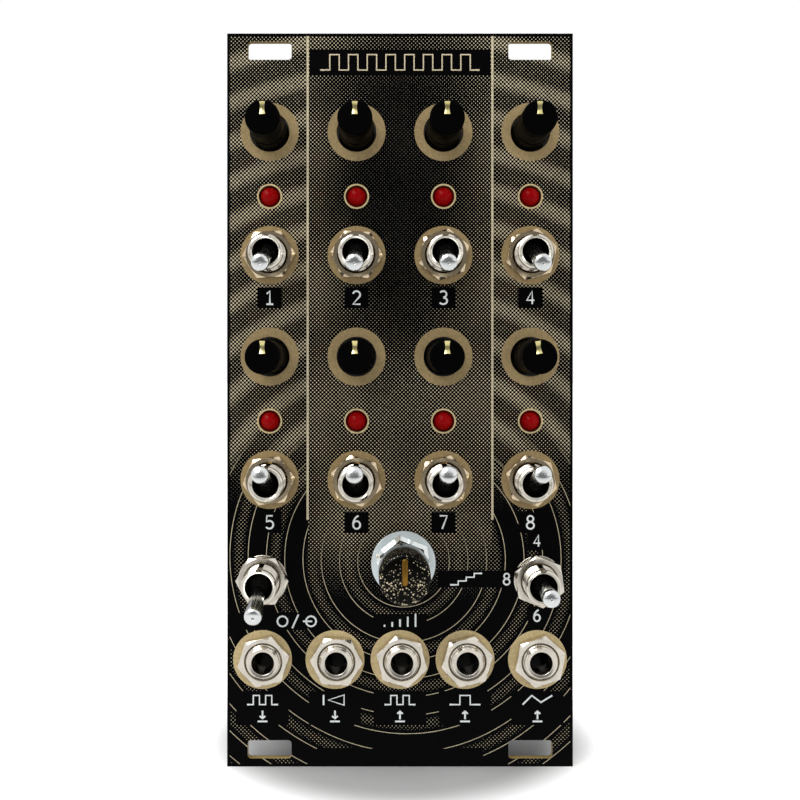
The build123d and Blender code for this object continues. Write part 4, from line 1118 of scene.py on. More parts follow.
def flecked_gloss(resins, axis):
    """Polished black resin with metallic flecks that gather towards its lower side."""
    # Polished black resin gives a deep black gloss, with pale, partly metallic flecks in its colour, more of
    # them towards the lower side
    material, tree, shader, place = new_finish(
        "polished_black_resin", IOR=1.5, Specular_IOR_Level=0.06, Coat_Weight=0.05, Coat_Roughness=0.03
    )
    at = add_node(tree, "ShaderNodeMapping", {"Vector": place, "Location": (-axis.x, 0, -axis.z)})
    height = add_node(tree, "ShaderNodeSeparateXYZ", {0: at})
    lower = add_node(
        tree, "ShaderNodeMapRange",
        {"Value": height.outputs["Z"], "From Min": 4.0 * MM, "From Max": -2.0 * MM,
         "To Min": 0.5, "To Max": 0.95},
        interpolation_type="SMOOTHSTEP",
    )
    blot = add_node(tree, "ShaderNodeTexNoise", {"Vector": at, "Scale": per(1.1), "Detail": 1})
    blot = add_node(tree, "ShaderNodeMath", {0: blot, 1: 1.1, 2: 0.4}, operation="MULTIPLY_ADD")
    dimmest = 0.16
    flecks = []
    for pitch, size, spread in ((0.36, 0.56, 0.44), (1.3, 0.2, 0.24)):
        cells = add_node(
            tree, "ShaderNodeTexVoronoi", {"Vector": at, "Scale": per(pitch), "Randomness": 1.0}
        )
        odd = add_node(tree, "ShaderNodeSeparateColor", {0: cells.outputs["Color"]})
        edge = add_node(
            tree, "ShaderNodeMath", {0: odd.outputs["Red"], 1: spread, 2: size - spread},
            operation="MULTIPLY_ADD",
        )
        edge = joined(tree, [edge, lower, blot], "MULTIPLY")
        inside = add_node(
            tree, "ShaderNodeMath", {0: cells.outputs["Distance"], 1: edge}, operation="LESS_THAN"
        )
        shine = add_node(
            tree, "ShaderNodeMath", {0: odd.outputs["Green"], 1: odd.outputs["Blue"]}, operation="MULTIPLY"
        )
        shine = add_node(
            tree, "ShaderNodeMath", {0: shine, 1: 1.0 - dimmest, 2: dimmest}, operation="MULTIPLY_ADD"
        )
        flecks.append(add_node(tree, "ShaderNodeMath", {0: inside, 1: shine}, operation="MULTIPLY"))
    fleck = joined(tree, flecks)
    mixed = add_node(
        tree, "ShaderNodeMix", {"Factor": fleck, 6: tuple(resins.gloss), 7: tuple(resins.fleck)},
        data_type="RGBA",
    )
    tree.links.new(mixed.outputs[2], shader.inputs["Base Color"])
    for socket, least, most in (("Roughness", 0.12, 0.35), ("Metallic", 0.0, 0.4)):
        amount = add_node(tree, "ShaderNodeMapRange", {"Value": fleck, "To Min": least, "To Max": most})
        tree.links.new(amount.outputs[0], shader.inputs[socket])
    return material


def nut_form_of(points, edge, fall):
    """A nut where a CAD nut is, with its size and turn, and the place to lay it."""
    low, high = corners_of(points)
    centre = (low + high) / 2
    far = max(points, key=lambda point: (point - centre).xz.length)
    near = min(points, key=lambda point: (point - centre).xz.length)
    reach, bore = (far - centre).xz.length / MM, (near - centre).xz.length / MM
    turn = math.atan2(far.z - centre.z, far.x - centre.x)
    form = hex_nut(reach * math.sqrt(3), bore, -high.y / MM, -low.y / MM, edge / MM, fall / MM)
    return form, [on_front(flat(centre), turn)]


def threaded_bushing(radius, mouth, low, high, pitch, turned, thread_low, relief=0.0, ridge=None, drop=None):
    """A bushing with a rounded rim and a thread of closed grooves from a level to below its rim."""
    lip = (turned.jack_lip if relief else turned.lip) / MM
    depth = turned.thread_depth * pitch
    corners = [(mouth, low, 0), (radius, low, 0)]
    level = thread_low
    while level < high - lip - relief - pitch * 1.2:
        corners += [(radius, level + pitch * 0.1, 0), (radius - depth, level + pitch * 0.3, 0),
                    (radius - depth, level + pitch * 0.7, 0), (radius, level + pitch * 0.9, 0)]
        level += pitch
    if relief:
        corners += [(radius, level, 0), (radius - relief, level + relief, 0)]
    radius -= relief
    ridge = ridge or (radius + mouth) / 2
    drop = drop or lip * 0.8
    corners += [(radius, high - lip, lip / 2), (ridge, high, lip / 4), (mouth, high - drop, 0.12)]
    return lathe(corners, turned.steps)


def mouth_of(lever):
    """The radius of the opening that a lever's ball sits in."""
    return 2.25 if lever.startswith("step") else 2.35


class MODULE_OT_switches(ModuleOperator, bpy.types.Operator):
    """Model the switch bushings, nuts and washers"""

    bl_idname = "module.switches"
    bl_label = "Switch Bushings"

    def execute(self, context):
        turned = context.scene.module_turned
        low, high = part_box("switch_bushings")
        pitch, thread_low = turned.switch_pitch / MM, 1.7
        forms = []
        for name in lever_names:
            form = threaded_bushing(
                BUSHING_RADIUS, mouth_of(name), -high.y / MM, -low.y / MM, pitch, turned, thread_low
            )
            cut_keyway(form, BUSHING_RADIUS, width=1.0, depth=0.42, low=1.6)
            forms.append((form, [on_front(flat(joint_points[name]))]))
        add_piece("bushings", forms, "module", finish("nickel_plate"), ["switch_bushings"])
        lowest = min(joint_points[f"step_lever_{number}"].z for number in step_numbers) - 5 * MM
        # The step switches' nuts get nickel tinted golden as a painted reflection of the tan board; the side
        # nuts get plain nickel
        for name, finish_name, upper in (
            ("step_nuts", "worn_nickel_on_brass", True), ("side_nuts", "nickel_plate", False)
        ):
            group = [points for points in solids_of("switch_nuts") if (middle(points).z > lowest) == upper]
            nuts = [nut_form_of(points, turned.nut_bevel, turned.nut_bevel) for points in group]
            add_piece(name, nuts, "module", finish(finish_name), ["switch_nuts"], 20)
        washers = {}
        for points in solids_of("panel_washers"):
            low, high = corners_of(points)
            centre = middle(points)
            radius = (high.x - low.x) / 2 / MM
            bore = min((point - centre).xz.length for point in points) / MM
            base, face = -high.y / MM, -low.y / MM
            form = lathe([
                (bore, base, 0), (radius, base, 0.08), (radius, face, 0.12), (bore, face, 0.08),
            ], turned.steps)
            of_rate = abs(centre.x - joint_points["rate_control"].x) < MM
            name = "rate_washer" if of_rate else "side_washers"
            washers.setdefault(name, []).append((form, [on_front(flat(centre))]))
        for name, finish_name in (("rate_washer", "matt_zinc"), ("side_washers", "nickel_plate")):
            add_piece(name, washers[name], "module", finish(finish_name), ["panel_washers"])
        return {"FINISHED"}


class MODULE_OT_levers(ModuleOperator, bpy.types.Operator):
    """Model the switch levers"""

    bl_idname = "module.levers"
    bl_label = "Levers"

    def execute(self, context):
        turned = context.scene.module_turned
        rise, dimple, widest = turned.tip_round / MM, turned.dimple / MM, 1.45
        for name in lever_names:
            pivot = joint_points[name]
            points = [vert.co for vert in frame["nodes"][name].data.vertices]
            reach = max((point - pivot).length for point in points)
            end = middle([point for point in points if (point - pivot).length > reach - 0.4 * MM])
            tip = (end - pivot).length / MM
            ball = mouth_of(name) - 0.1
            bat = lathe([
                (0, 1.0, 0), (0.95, 1.0, 0), (1.0, ball - 0.1, 0), (widest, tip - 1.4, 0.6),
                *dome(widest, tip - rise, rise, 0, 81, 8),
                (dimple, tip - 0.04, 0), (dimple - 0.03, tip - 0.5, 0), (0, tip - 0.5, 0),
            ], turned.steps)
            seat = dome(ball, 0, ball, -20, 61, 8)
            knuckle = lathe([(0, seat[0][1], 0), *seat, (0, seat[-1][1], 0)], turned.steps)
            tilt = math.atan2(pivot.z - end.z, pivot.y - end.y)
            place = on_front(flat(pivot), out=-pivot.y, tilt=tilt)
            add_piece(f"{name}_bat", [(bat, [place])], name, finish("bright_plate"), [name])
            # The ball's near-black colour is painted shade inside the bushing
            add_piece(f"{name}_ball", [(knuckle, [place])], name, finish("black_oxide_ball"))
        return {"FINISHED"}


class MODULE_OT_lamps(ModuleOperator, bpy.types.Operator):
    """Model the lamps"""

    bl_idname = "module.lamps"
    bl_label = "Lamps"

    def execute(self, context):
        forms = []
        for low, high, centre in boxes_of("step_lamps"):
            radius = (high.x - low.x) / 2 / MM
            foot, top = -high.y / MM, -low.y / MM
            flange = radius + 0.3
            form = lathe([
                (0, foot, 0), (flange, foot, 0.1), (flange, 0.8, 0.1), (radius, 0.85, 0),
                *dome(radius, top - radius, radius, 0, 90, 10), (0, top, 0),
            ], 48)
            forms.append((form, [on_front(flat(centre))]))
        add_piece("lamps", forms, "module", finish("red_resin_lens"), ["step_lamps"], 50)
        return {"FINISHED"}


class MODULE_OT_jacks(ModuleOperator, bpy.types.Operator):
    """Model the jack bushings and nuts"""

    bl_idname = "module.jacks"
    bl_label = "Jacks"

    def execute(self, context):
        turned = context.scene.module_turned
        nickel = finish("nickel_plate")
        mouth, thread_low = 1.95, 3.1
        forms = []
        for low, high, centre in boxes_of("jack_bushings"):
            form = threaded_bushing(
                BUSHING_RADIUS, mouth, -high.y / MM, -low.y / MM, turned.jack_pitch / MM, turned, thread_low,
                relief=0.14, ridge=2.5, drop=0.1,
            )
            forms.append((form, [on_front(flat(centre))]))
        add_piece("jack_tubes", forms, "module", nickel, ["jack_bushings"])
        nuts = [nut_form_of(points, turned.nut_bevel, turned.nut_bevel) for points in solids_of("jack_nuts")]
        add_piece("jack_rings", nuts, "module", nickel, ["jack_nuts"], 20)
        return {"FINISHED"}


def tails(node, level, away=1):
    """Where each solid of a node pokes a little way out of a board's face, as (x, z)."""
    ends = []
    for points in solids_of(node):
        beyond = [point for point in points if (point.y - level) * away > 0.5 * MM]
        if beyond and max((point.y - level) * away for point in beyond) < 2 * MM:
            ends.append(flat(middle(beyond)))
    return ends


def solder_form():
    """A small hollow-sided cone of solder."""
    return lathe([
        (0, 0, 0), (0.85, 0, 0), (0.8, 0.08, 0), (0.5, 0.3, 0), (0.36, 0.7, 0), (0.3, 1.0, 0), (0, 1.1, 0),
    ], 10)


def board_mask(colours, nodes):
    """Black solder mask: glossier than the panel's lacquer, with the glass-fibre core at the edges."""
    # Cured mask over glass fibre gives a satin black with a faint weave, and a tan line round the rim
    material, tree, shader, place = new_finish("black_solder_mask", IOR=1.5, Specular_IOR_Level=0.22)
    level = add_node(tree, "ShaderNodeSeparateXYZ", {0: place}).outputs["Y"]
    insides = []
    for low, high in [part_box(node) for node in nodes]:
        insides.append(add_node(
            tree, "ShaderNodeMath", {0: level, 1: (low.y + high.y) / 2, 2: (high.y - low.y) / 2 - 0.08 * MM},
            operation="COMPARE",
        ))
    core = joined(tree, insides)
    weave = add_node(
        tree, "ShaderNodeTexNoise", {"Vector": place, "Scale": per(0.5), "Detail": 3, "Roughness": 0.6}
    )
    tint = add_node(
        tree, "ShaderNodeMix", {"Factor": core, 6: tuple(colours.mask), 7: tuple(colours.core)},
        data_type="RGBA",
    )
    tree.links.new(tint.outputs[2], shader.inputs["Base Color"])
    rough = add_node(tree, "ShaderNodeMapRange", {"Value": core, "To Min": 0.3, "To Max": 0.7})
    tree.links.new(rough.outputs[0], shader.inputs["Roughness"])
    bump = add_node(tree, "ShaderNodeBump", {"Height": weave, "Distance": 0.01 * MM, "Strength": 0.4})
    tree.links.new(bump.outputs[0], shader.inputs["Normal"])
    return material


def track(start, end, bend):
    """A copper track that leaves straight up or down, crosses at 45 degrees and arrives straight."""
    across = abs(end[0] - start[0])
    onward = math.copysign(across, end[1] - start[1])
    return [start, (start[0], bend), (end[0], bend + onward), end]


def outline(low, high, spare=0.35):
    """The four sides of a box seen from behind, a little outside it."""
    left, right = low.x / MM - spare, high.x / MM + spare
    foot, top = low.z / MM - spare, high.z / MM + spare
    return [(-left, foot), (-right, foot), (-right, top), (-left, top), (-left, foot)]


def leg_row(size):
    """Where the legs of a chip of a size stand along it, from its middle."""
    count = round((size + 1.3) / GRID)
    return [GRID * (number - (count - 1) / 2) for number in range(count)]


def main_tracks(rows):
    """The main board's tracks between the rows of the four chips' legs, the strips and the header."""
    upper_left, upper_right, lower_left, lower_right = rows
    leg, strip_x, strip_z, header_z = 3.8, 15.24, -18.5, 40.5
    tracks = []
    for upper, lower in ((upper_left, lower_left), (upper_right, lower_right)):
        for (x0, z0), (x1, z1) in zip(upper, lower):
            tracks.append(track((x0, z0 - leg), (x1, z1 + leg), z0 - 5.5 - 0.5 * abs(x1 - x0)))
    for side, row in ((1, upper_left), (-1, reversed(upper_right))):
        for number, (x, z) in enumerate(row):
            end = (side * (2.5 + GRID / 4 * number), header_z)
            tracks.append(track((x, z + leg), end, z + 6 + 0.9 * number))
    for number, (x, z) in enumerate(lower_left):
        end = (strip_x - 0.4 * (number % 3), strip_z - GRID * number)
        tracks.append(track((x, z - leg), end, -6 - number))
    for number, (x, z) in enumerate(lower_right):
        tracks.append(track((x, z - leg), (-strip_x, strip_z - 2 * GRID * number), -8 - 1.2 * number))
    for number in range(8):
        z, shift = -14 - 4 * number, 0.3 * number
        tracks.append([(3.4, z), (1.2 - shift, z), (-1.4 - shift, z - 2.2), (-6.2, z - 2.2)])
    return tracks


def control_tracks():
    """The control board's tracks: five lanes beside each column of controls."""
    tracks = []
    for column, shift in ((-22.86, 4.5), (-7.62, 4.5), (7.62, -4.5), (22.86, -4.5)):
        for lane in range(5):
            x = column + 1.1 * (lane - 2) + shift
            tracks.append([(x, 50 - 2 * lane), (x, 24 - lane), (x + 2.5, 21.5 - lane), (x + 2.5, -16 + lane)])
    return tracks


class MODULE_OT_boards(ModuleOperator, bpy.types.Operator):
    """Model the tracks, outlines and solder joints of the two boards"""

    bl_idname = "module.boards"
    bl_label = "Boards"

    def execute(self, context):
        boards = ("control_board", "main_board")
        mask = board_mask(context.scene.module_panel, boards)
        for node in boards:
            dress(node, mask)
        control_low, control_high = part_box("control_board")
        main_low, main_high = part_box("main_board")
        chips = boxes_of("chips")
        rows = []
        for low, high, centre in chips:
            row = leg_row((high.x - low.x) / MM)
            rows.append([(-(centre.x / MM + x), centre.z / MM) for x in row])

        # Tracks under the mask on both sides of the main board and on the control board's back
        width, height = 0.42 * MM, 0.035 * MM
        main_back, control_back = on_back((0, 0), main_high.y), on_back((0, 0), control_high.y)
        main_front = on_front((0, 0), out=-main_low.y)
        add_piece("board_tracks", [
            (drawn_strokes(main_tracks(rows), width, height), [main_back]),
            (drawn_strokes(control_tracks(), width, height), [control_back, main_front]),
        ], "module", finish("mask_over_copper"))

        # Printed outlines of the parts, with no lettering
        can_ring, notch = 3.55, 0.8
        lines = []
        for node in ("chip_sockets", "power_header", "disc_capacitors", "resistors", "diodes"):
            lines += [outline(*corners_of(points)) for points in solids_of(node)]
        for centre in centres_of("can_capacitors"):
            lines.append(arc(-centre.x, centre.z, can_ring, can_ring, 0, 360, 32))
            lines.append([(-centre.x - 5.0, centre.z), (-centre.x - 4.0, centre.z)])
        for low, high, centre in chips:
            lines.append(arc(-high.x / MM - 1.1, (low.z + high.z) / 2 / MM, notch, notch, -90, 90, 8))
        form = drawn_strokes(lines, 0.18 * MM, 0.02 * MM)
        add_piece("board_outlines", [(form, [main_back])], "module", finish("silkscreen_ink"))

        # Solder joints wherever a lead goes through
        joints = [
            on_back(place, control_high.y)
            for node in ("pot_terminals", "switch_terminals", "lamp_leads", "jack_contacts")
            for place in tails(node, control_high.y)
        ]
        joints += [on_back(place, main_high.y) for place in tails("connector_pins", main_high.y)]
        for low in (control_low, main_low):
            joints += [on_front(place, out=-low.y) for place in tails("connector_pins", low.y, -1)]
        leads = [
            (-x * MM, (z + side * ROW_HALF) * MM) for row in rows for x, z in row for side in (-1, 1)
        ]
        for node, half in HALF_SPANS.items():
            for centre in centres_of(node):
                leads += [((centre.x + side * half) * MM, centre.z * MM) for side in (-1, 1)]
        for node in ("disc_capacitors", "can_capacitors"):
            for centre in centres_of(node):
                leads += [(centre.x * MM, (centre.z + side * GRID / 2) * MM) for side in (-1, 1)]
        joints += [on_front(place, out=-main_low.y) for place in leads]
        solder = finish("tin_solder")
        add_piece("solder_joints", [(solder_form(), joints)], "module", solder, (), 60)
        return {"FINISHED"}


class MODULE_OT_control_backs(ModuleOperator, bpy.types.Operator):
    """Finish the pots, switches and jacks behind the panel"""

    bl_idname = "module.control_backs"
    bl_label = "Control Backs"

    def execute(self, context):
        for copy in (
            ("pot_shells", "pot_covers", "zinc_plated_sheet", 0.22, 2, "zinc_sheet"),
            ("switch_shells", "switch_frames", "zinc_plated_sheet", 0.12, 1, "zinc_sheet"),
            ("switch_boxes", "switch_cases", "blue_moulded_phenolic", 0.3, 2, "switch_resin"),
            ("jack_boxes", "jack_housings", "black_polyamide", 0.18, 2, "jack_resin"),
            ("pot_floors", "pot_bases", "dark_moulded_phenolic", 0.15, 1, "pot_resin"),
        ):
            bevelled_copy(*copy)
        for node in ("lamp_leads", "switch_terminals", "pot_terminals", "jack_contacts"):
            dress(node, finish("tinned_wire"))
        dress("rate_shaft", finish("zinc_plated_sheet"))
        return {"FINISHED"}


class MODULE_OT_links(ModuleOperator, bpy.types.Operator):
    """Model the spacers, screws, pin strips, sockets and the power header"""

    bl_idname = "module.links"
    bl_label = "Links"

    def execute(self, context):
        forms = []
        for low, high, centre in boxes_of("board_spacers"):
            form = hex_nut((high.z - low.z) / MM, SCREW_RADIUS, 0.0, (high.y - low.y) / MM, 0.12, 0.12)
            forms.append((form, [on_front(flat(centre), out=-high.y)]))
        add_piece("spacers", forms, "module", finish("nickel_plate"), ["board_spacers"], 20)

        # Pan-head screws with a crossed recess, from both sides
        forms = []
        for points in solids_of("board_screws"):
            low, high = corners_of(points)
            centre = middle(points)
            head = (high.z - low.z) / 2
            wide = [point.y for point in points if (point - centre).xz.length > head - 0.05 * MM]
            behind = min(wide) > centre.y
            seat = min(wide) if behind else max(wide)
            rise = (high.y - seat if behind else seat - low.y) / MM
            end = rise - (high.y - low.y) / MM
            form = lathe([
                (0, end, 0), (SCREW_RADIUS, end, 0), (SCREW_RADIUS, 0, 0), (head / MM, 0, 0.05),
                (head / MM, rise * 0.45, 0.3), (head / MM * 0.78, rise * 0.85, 0.5), (1.75, rise, 0),
                (0, rise, 0),
            ], 48)
            cut_recess(form, [(-1.5, -0.36, 1.5, 0.36), (-0.36, -1.5, 0.36, 1.5)], rise, 1.0, 0.35)
            place = on_back(flat(centre), seat) if behind else on_front(flat(centre), out=-seat)
            forms.append((form, [place]))
        add_piece("screws", forms, "module", finish("bright_zinc"), ["board_screws"])

        # A pin strip's row of cells, each with its socket behind it
        forms, pins, strip = [], 8, 2.5
        for low, high, centre in boxes_of("board_connectors"):
            width, height = (high.x - low.x) / MM, (high.z - low.z) / MM
            pitch = (high.z - low.z) / pins
            cell = block(width, pitch / MM - 0.02, 0.0, strip, 0.3, 1)
            places = [
                on_front((centre.x, low.z + pitch * (number + 0.5)), out=-low.y - strip * MM)
                for number in range(pins)
            ]
            forms.append((cell, places))
            tall = (high.y - low.y) / MM - strip
            socket = block(width, height, 0.0, tall - 0.02, 0.18, 2)
            forms.append((socket, [on_front(flat(centre), out=-high.y)]))
        black = finish("black_polyamide")
        add_piece("strips_and_sockets", forms, "module", black, ["board_connectors"])
        bevelled_copy("gilt_pins", "connector_pins", "gold_plate", 0.12, 1, "pin_gold")
        bevelled_copy("keyed_shroud", "power_header", "black_polyamide", 0.15, 2, "jack_resin")
        return {"FINISHED"}


class MODULE_OT_chips(ModuleOperator, bpy.types.Operator):
    """Model the chips with their legs, and their sockets"""

    bl_idname = "module.chips"
    bl_label = "Chips"

    def execute(self, context):
        bodies, legs, sockets = [], [], []
        lean = 0.12
        pairs = zip(boxes_of("chips"), boxes_of("chip_sockets"))
        for (low, high, centre), (base_low, base_high, base) in pairs:
            length_x, width_y, tall = (high - low).x / MM, (high - low).z / MM, (high - low).y / MM
            waist = tall * 0.45

            # The body, split along its middle and leaning in above and below, with a notch and a dot
            body = block(length_x, width_y, 0.0, tall, 0.0)
            bmesh.ops.bisect_plane(
                body, geom=body.verts[:] + body.edges[:] + body.faces[:], plane_co=(0, 0, waist * MM),
                plane_no=(0, 0, 1),
            )
            for vert in body.verts:
                shift = abs(vert.co.z / MM - waist) * lean * MM
                vert.co.x -= math.copysign(shift, vert.co.x)
                vert.co.y -= math.copysign(shift, vert.co.y)
            bmesh.ops.bevel(
                body, geom=[edge for edge in body.edges if edge.calc_face_angle() > 1.0], offset=0.15 * MM,
                segments=2, affect="EDGES", profile=0.5, material=-1, clamp_overlap=True,
            )
            end = -(length_x / 2 - 0.55 * lean * tall)
            dot_y = 1.0 - width_y / 2
            cut_recess(body, [(end + 0.15, -0.7, end + 1.1, 0.7)], tall, 0.4)
            cut_recess(body, [(end + 1.5, dot_y, end + 2.1, dot_y + 0.6)], tall, 0.15)
            place = on_back(flat(centre), low.y)
            bodies.append((body, [place]))

            # Each leg comes out flat, bends down and narrows
            row = leg_row(length_x)
            ends = [(x, side) for x in row for side in (-1, 1)]
            for form, reach in (
                (block(1.3, 0.95, waist - 0.125, waist + 0.125, 0.05, 1), ROW_HALF - 0.42),
                (block(1.3, 0.25, -0.3, waist + 0.1, 0.05, 1), ROW_HALF),
                (block(0.5, 0.25, -1.2, -0.25, 0.04, 1), ROW_HALF),
            ):
                legs.append((form, [
                    place @ Matrix.Translation((x * MM, side * reach * MM, 0)) for x, side in ends
                ]))

            # The socket has two rails with a well for each leg, and two crossbars
            foot = on_back(flat(base), base_low.y)
            long_x, rise = (base_high - base_low).x / MM, (base_high - base_low).y / MM
            rail = block(long_x, ((base_high - base_low).z / MM - 5.2) / 2, 0.0, rise, 0.2, 2)
            cut_recess(rail, [(x - 0.75, -0.3, x + 0.75, 0.3) for x in row], rise, 1.0)
            bar = block(2.3, 5.4, 0.0, rise - 0.6, 0.15, 1)
            for form, across, up in ((rail, 0, ROW_HALF), (bar, long_x / 2 - 1.15, 0)):
                sockets.append((form, [
                    foot @ Matrix.Translation((side * across * MM, side * up * MM, 0)) for side in (-1, 1)
                ]))
        add_piece("chip_bodies", bodies, "module", finish("moulded_chip_epoxy"), ["chips"])
        add_piece("chip_legs", legs, "module", finish("tinned_wire"), ["chips"])
        bases = finish("dark_moulded_phenolic")
        add_piece("socket_frames", sockets, "module", bases, ["chip_sockets"])
        return {"FINISHED"}


def banded_coat(name, base, nodes, bands, paints, roughness, coat):
    """A glossy coat with painted bands across each part's length, in other colours from part to part."""
    material, tree, shader, place = new_finish(
        name, IOR=1.5, Roughness=roughness, Coat_Weight=coat, Coat_Roughness=0.08
    )
    parts = add_node(tree, "ShaderNodeSeparateXYZ", {0: place})
    centres = [middle(points) for points in solids_of(nodes)]
    pitch = centres[0].z - centres[1].z
    number = add_node(
        tree, "ShaderNodeMath", {0: parts.outputs["Z"], 1: -1 / pitch, 2: centres[0].z / pitch + 0.5},
        operation="MULTIPLY_ADD",
    )
    number = add_node(tree, "ShaderNodeMath", {0: number}, operation="FLOOR")
    surface = tuple(base)
    for order, (offset, half) in enumerate(bands):
        band = add_node(
            tree, "ShaderNodeMath", {0: parts.outputs["X"], 1: centres[0].x + offset * MM, 2: half * MM},
            operation="COMPARE",
        )
        pick = add_node(
            tree, "ShaderNodeMath", {0: number, 1: 3.7, 2: 11.3 * order + 0.5}, operation="MULTIPLY_ADD"
        )
        chance = add_node(tree, "ShaderNodeTexWhiteNoise", {"W": pick}, noise_dimensions="1D")
        paint = add_node(tree, "ShaderNodeValToRGB", {"Fac": chance.outputs["Value"]})
        ramp = paint.color_ramp
        ramp.interpolation = "CONSTANT"
        for step, code in enumerate(paints):
            stop = ramp.elements[0] if step == 0 else ramp.elements.new(step / len(paints))
            stop.color = srgb(code)
        ramp.elements.remove(ramp.elements[-1])
        surface = add_node(
            tree, "ShaderNodeMix", {"Factor": band, 6: surface, 7: paint.outputs["Color"]}, data_type="RGBA"
        ).outputs[2]
    tree.links.new(surface, shader.inputs["Base Color"])
    uneven = add_node(tree, "ShaderNodeTexNoise", {"Vector": place, "Scale": per(0.8), "Detail": 2})
    bump = add_node(tree, "ShaderNodeBump", {"Height": uneven, "Distance": 0.02 * MM, "Strength": 0.4})
    tree.links.new(bump.outputs[0], shader.inputs["Normal"])
    return material


class MODULE_OT_board_parts(ModuleOperator, bpy.types.Operator):
    """Model the capacitors, resistors and diodes"""

    bl_idname = "module.board_parts"
    bl_label = "Board Parts"

    def execute(self, context):
        self.add_cans()
        wires = self.add_discs() + self.add_banded(context.scene.module_resin)
        nodes = ["disc_capacitors", "resistors", "diodes"]
        add_piece("part_leads", wires, "module", finish("tinned_wire"), nodes)
        return {"FINISHED"}

    def add_cans(self):
        """Cans in a shrunk sleeve with a waist, a pale stripe and a crossed groove in the top."""
        sleeves, stripes, tops = [], [], []
        for low, high, centre in boxes_of("can_capacitors"):
            radius, tall = (high.x - low.x) / 2 / MM, (high.y - low.y) / MM
            wall = radius - 0.05
            place = on_back(flat(centre), low.y)
            sleeve = lathe([
                (0, 0, 0), (radius - 0.35, 0, 0.2), (wall, 0.6, 0.2), (wall, 1.3, 0.2),
                (radius - 0.35, 1.8, 0.3), (wall, 2.3, 0.3), (wall, tall, 0.4),
                (radius - 0.8, tall, 0.05), (radius - 0.8, tall - 0.25, 0), (0, tall - 0.25, 0),
            ], 48)
            sleeves.append((sleeve, [place]))
            band = lathe([
                (radius - 0.3, 2.5, 0), (radius, 2.5, 0), (radius, tall - 0.45, 0),
                (radius - 0.3, tall - 0.45, 0),
            ], 96)
            for normal in ((-0.42, 0.91, 0), (-0.42, -0.91, 0)):
                geom = band.verts[:] + band.edges[:] + band.faces[:]
                bmesh.ops.bisect_plane(
                    band, geom=geom, plane_co=(0, 0, 0), plane_no=normal, clear_outer=True
                )
                rim = [edge for edge in band.edges if edge.is_boundary]
                bmesh.ops.holes_fill(band, edges=rim, sides=12)
            bmesh.ops.recalc_face_normals(band, faces=band.faces)
            stripes.append((band, [place]))
            disc = lathe([
                (0, tall - 0.3, 0), (radius - 0.82, tall - 0.3, 0), (radius - 0.82, tall - 0.08, 0.1),
                (0, tall - 0.08, 0),
            ], 48)
            cut_recess(disc, [(-1.9, -0.1, 1.9, 0.1), (-0.1, -1.9, 0.1, 1.9)], tall - 0.08, 0.14, 0.96)
            tops.append((disc, [place]))
        for name, forms, finish_name, slot in (
            ("can_sleeves", sleeves, "shrink_sleeve", "can_sleeve"),
            ("can_stripes", stripes, "sleeve_stripe", "can_sleeve"),
            ("can_tops", tops, "spun_aluminium", "tinned_wire"),
        ):
            add_piece(name, forms, "module", finish(finish_name), ["can_capacitors"])

    def add_discs(self):
        """Dipped discs, a little wider where their two legs leave."""
        drops, wires = [], []
        for low, _, centre in boxes_of("disc_capacitors"):
            place = on_back(flat(centre), low.y)
            drop = bmesh.new()
            bmesh.ops.create_icosphere(drop, subdivisions=4, radius=1)
            for vert in drop.verts:
                x, y, z = vert.co
                run = max(0.0, -z) ** 3 * abs(y)
                vert.co = Vector((x * 1.12, y * (2.24 + 0.05 * run), z * 1.75 + 2.8)) * MM
            drops.append((drop, [place]))
            wire = lathe([(0, -0.05, 0), (0.3, -0.05, 0), (0.3, 1.7, 0), (0, 1.9, 0)], 12)
            shifts = [Matrix.Translation((0, side * GRID / 2 * MM, 0)) for side in (-1, 1)]
            wires.append((wire, [place @ shift for shift in shifts]))
        coat = finish("dipped_coat")
        add_piece("dipped_capacitors", drops, "module", coat, ["disc_capacitors"])
        return wires

    def add_banded(self, resins):
        """Resistors with a thin waist and diodes, both lying on their bent leads."""
        wires = []
        bodies = {"resistors": [], "diodes": []}
        for node, half, thin in (("resistors", 3.1, 0.8), ("diodes", 1.95, 0.96)):
            for low, high, centre in boxes_of(node):
                place = on_back(flat(centre), low.y)
                radius = (high.z - low.z) / 2 / MM - 0.02
                lift = (high.y - low.y) / MM - radius - 0.02
                waist = radius * thin
                body = lathe([
                    (0, -half, 0), (radius * 0.7, -half, 0.2), (radius, -half + 0.3, 0.3),
                    (radius, -half + 1.0, 0.4), (waist, -half + 1.5, 0.4), (waist, half - 1.5, 0.4),
                    (radius, half - 1.0, 0.4), (radius, half - 0.3, 0.3), (radius * 0.7, half, 0.2),
                    (0, half, 0),
                ], 32)
                along = Matrix.Translation((0, 0, lift * MM)) @ Matrix.Rotation(math.pi / 2, 4, "Y")
                bodies[node].append((body, [place @ along]))
                span, foot = HALF_SPANS[node], -0.05
                bend = [(-span, foot, 0), (-span, lift, 0.7), (span, lift, 0.7), (span, foot, 0)]
                wires.append((bent_wire(bend, 0.27), [place]))

        # Sprayed lacquer gives the resistors a pale blue gloss with painted rings
        bands = [(-2.3, 0.26), (-1.2, 0.22), (-0.3, 0.22), (2.2, 0.28)]
        paints = ["#1A1A1A", "#5A3018", "#B02A1E", "#D8742A", "#D9B72F", "#3C7A45", "#2F4F94", "#6B4A86"]
        coat = banded_coat("resistor_lacquer", resins.coat, "resistors", bands, paints, 0.3, 0.3)
        add_piece("resistor_bodies", bodies["resistors"], "module", coat, ["resistors"])

        # Drawn glass gives the diodes an amber bead with sharp glints and one black ring
        glass = banded_coat("diode_glass", resins.glass, "diodes", [(1.2, 0.3)], ["#101010"], 0.08, 0.6)
        add_piece("diode_bodies", bodies["diodes"], "module", glass, ["diodes"])
        return wires


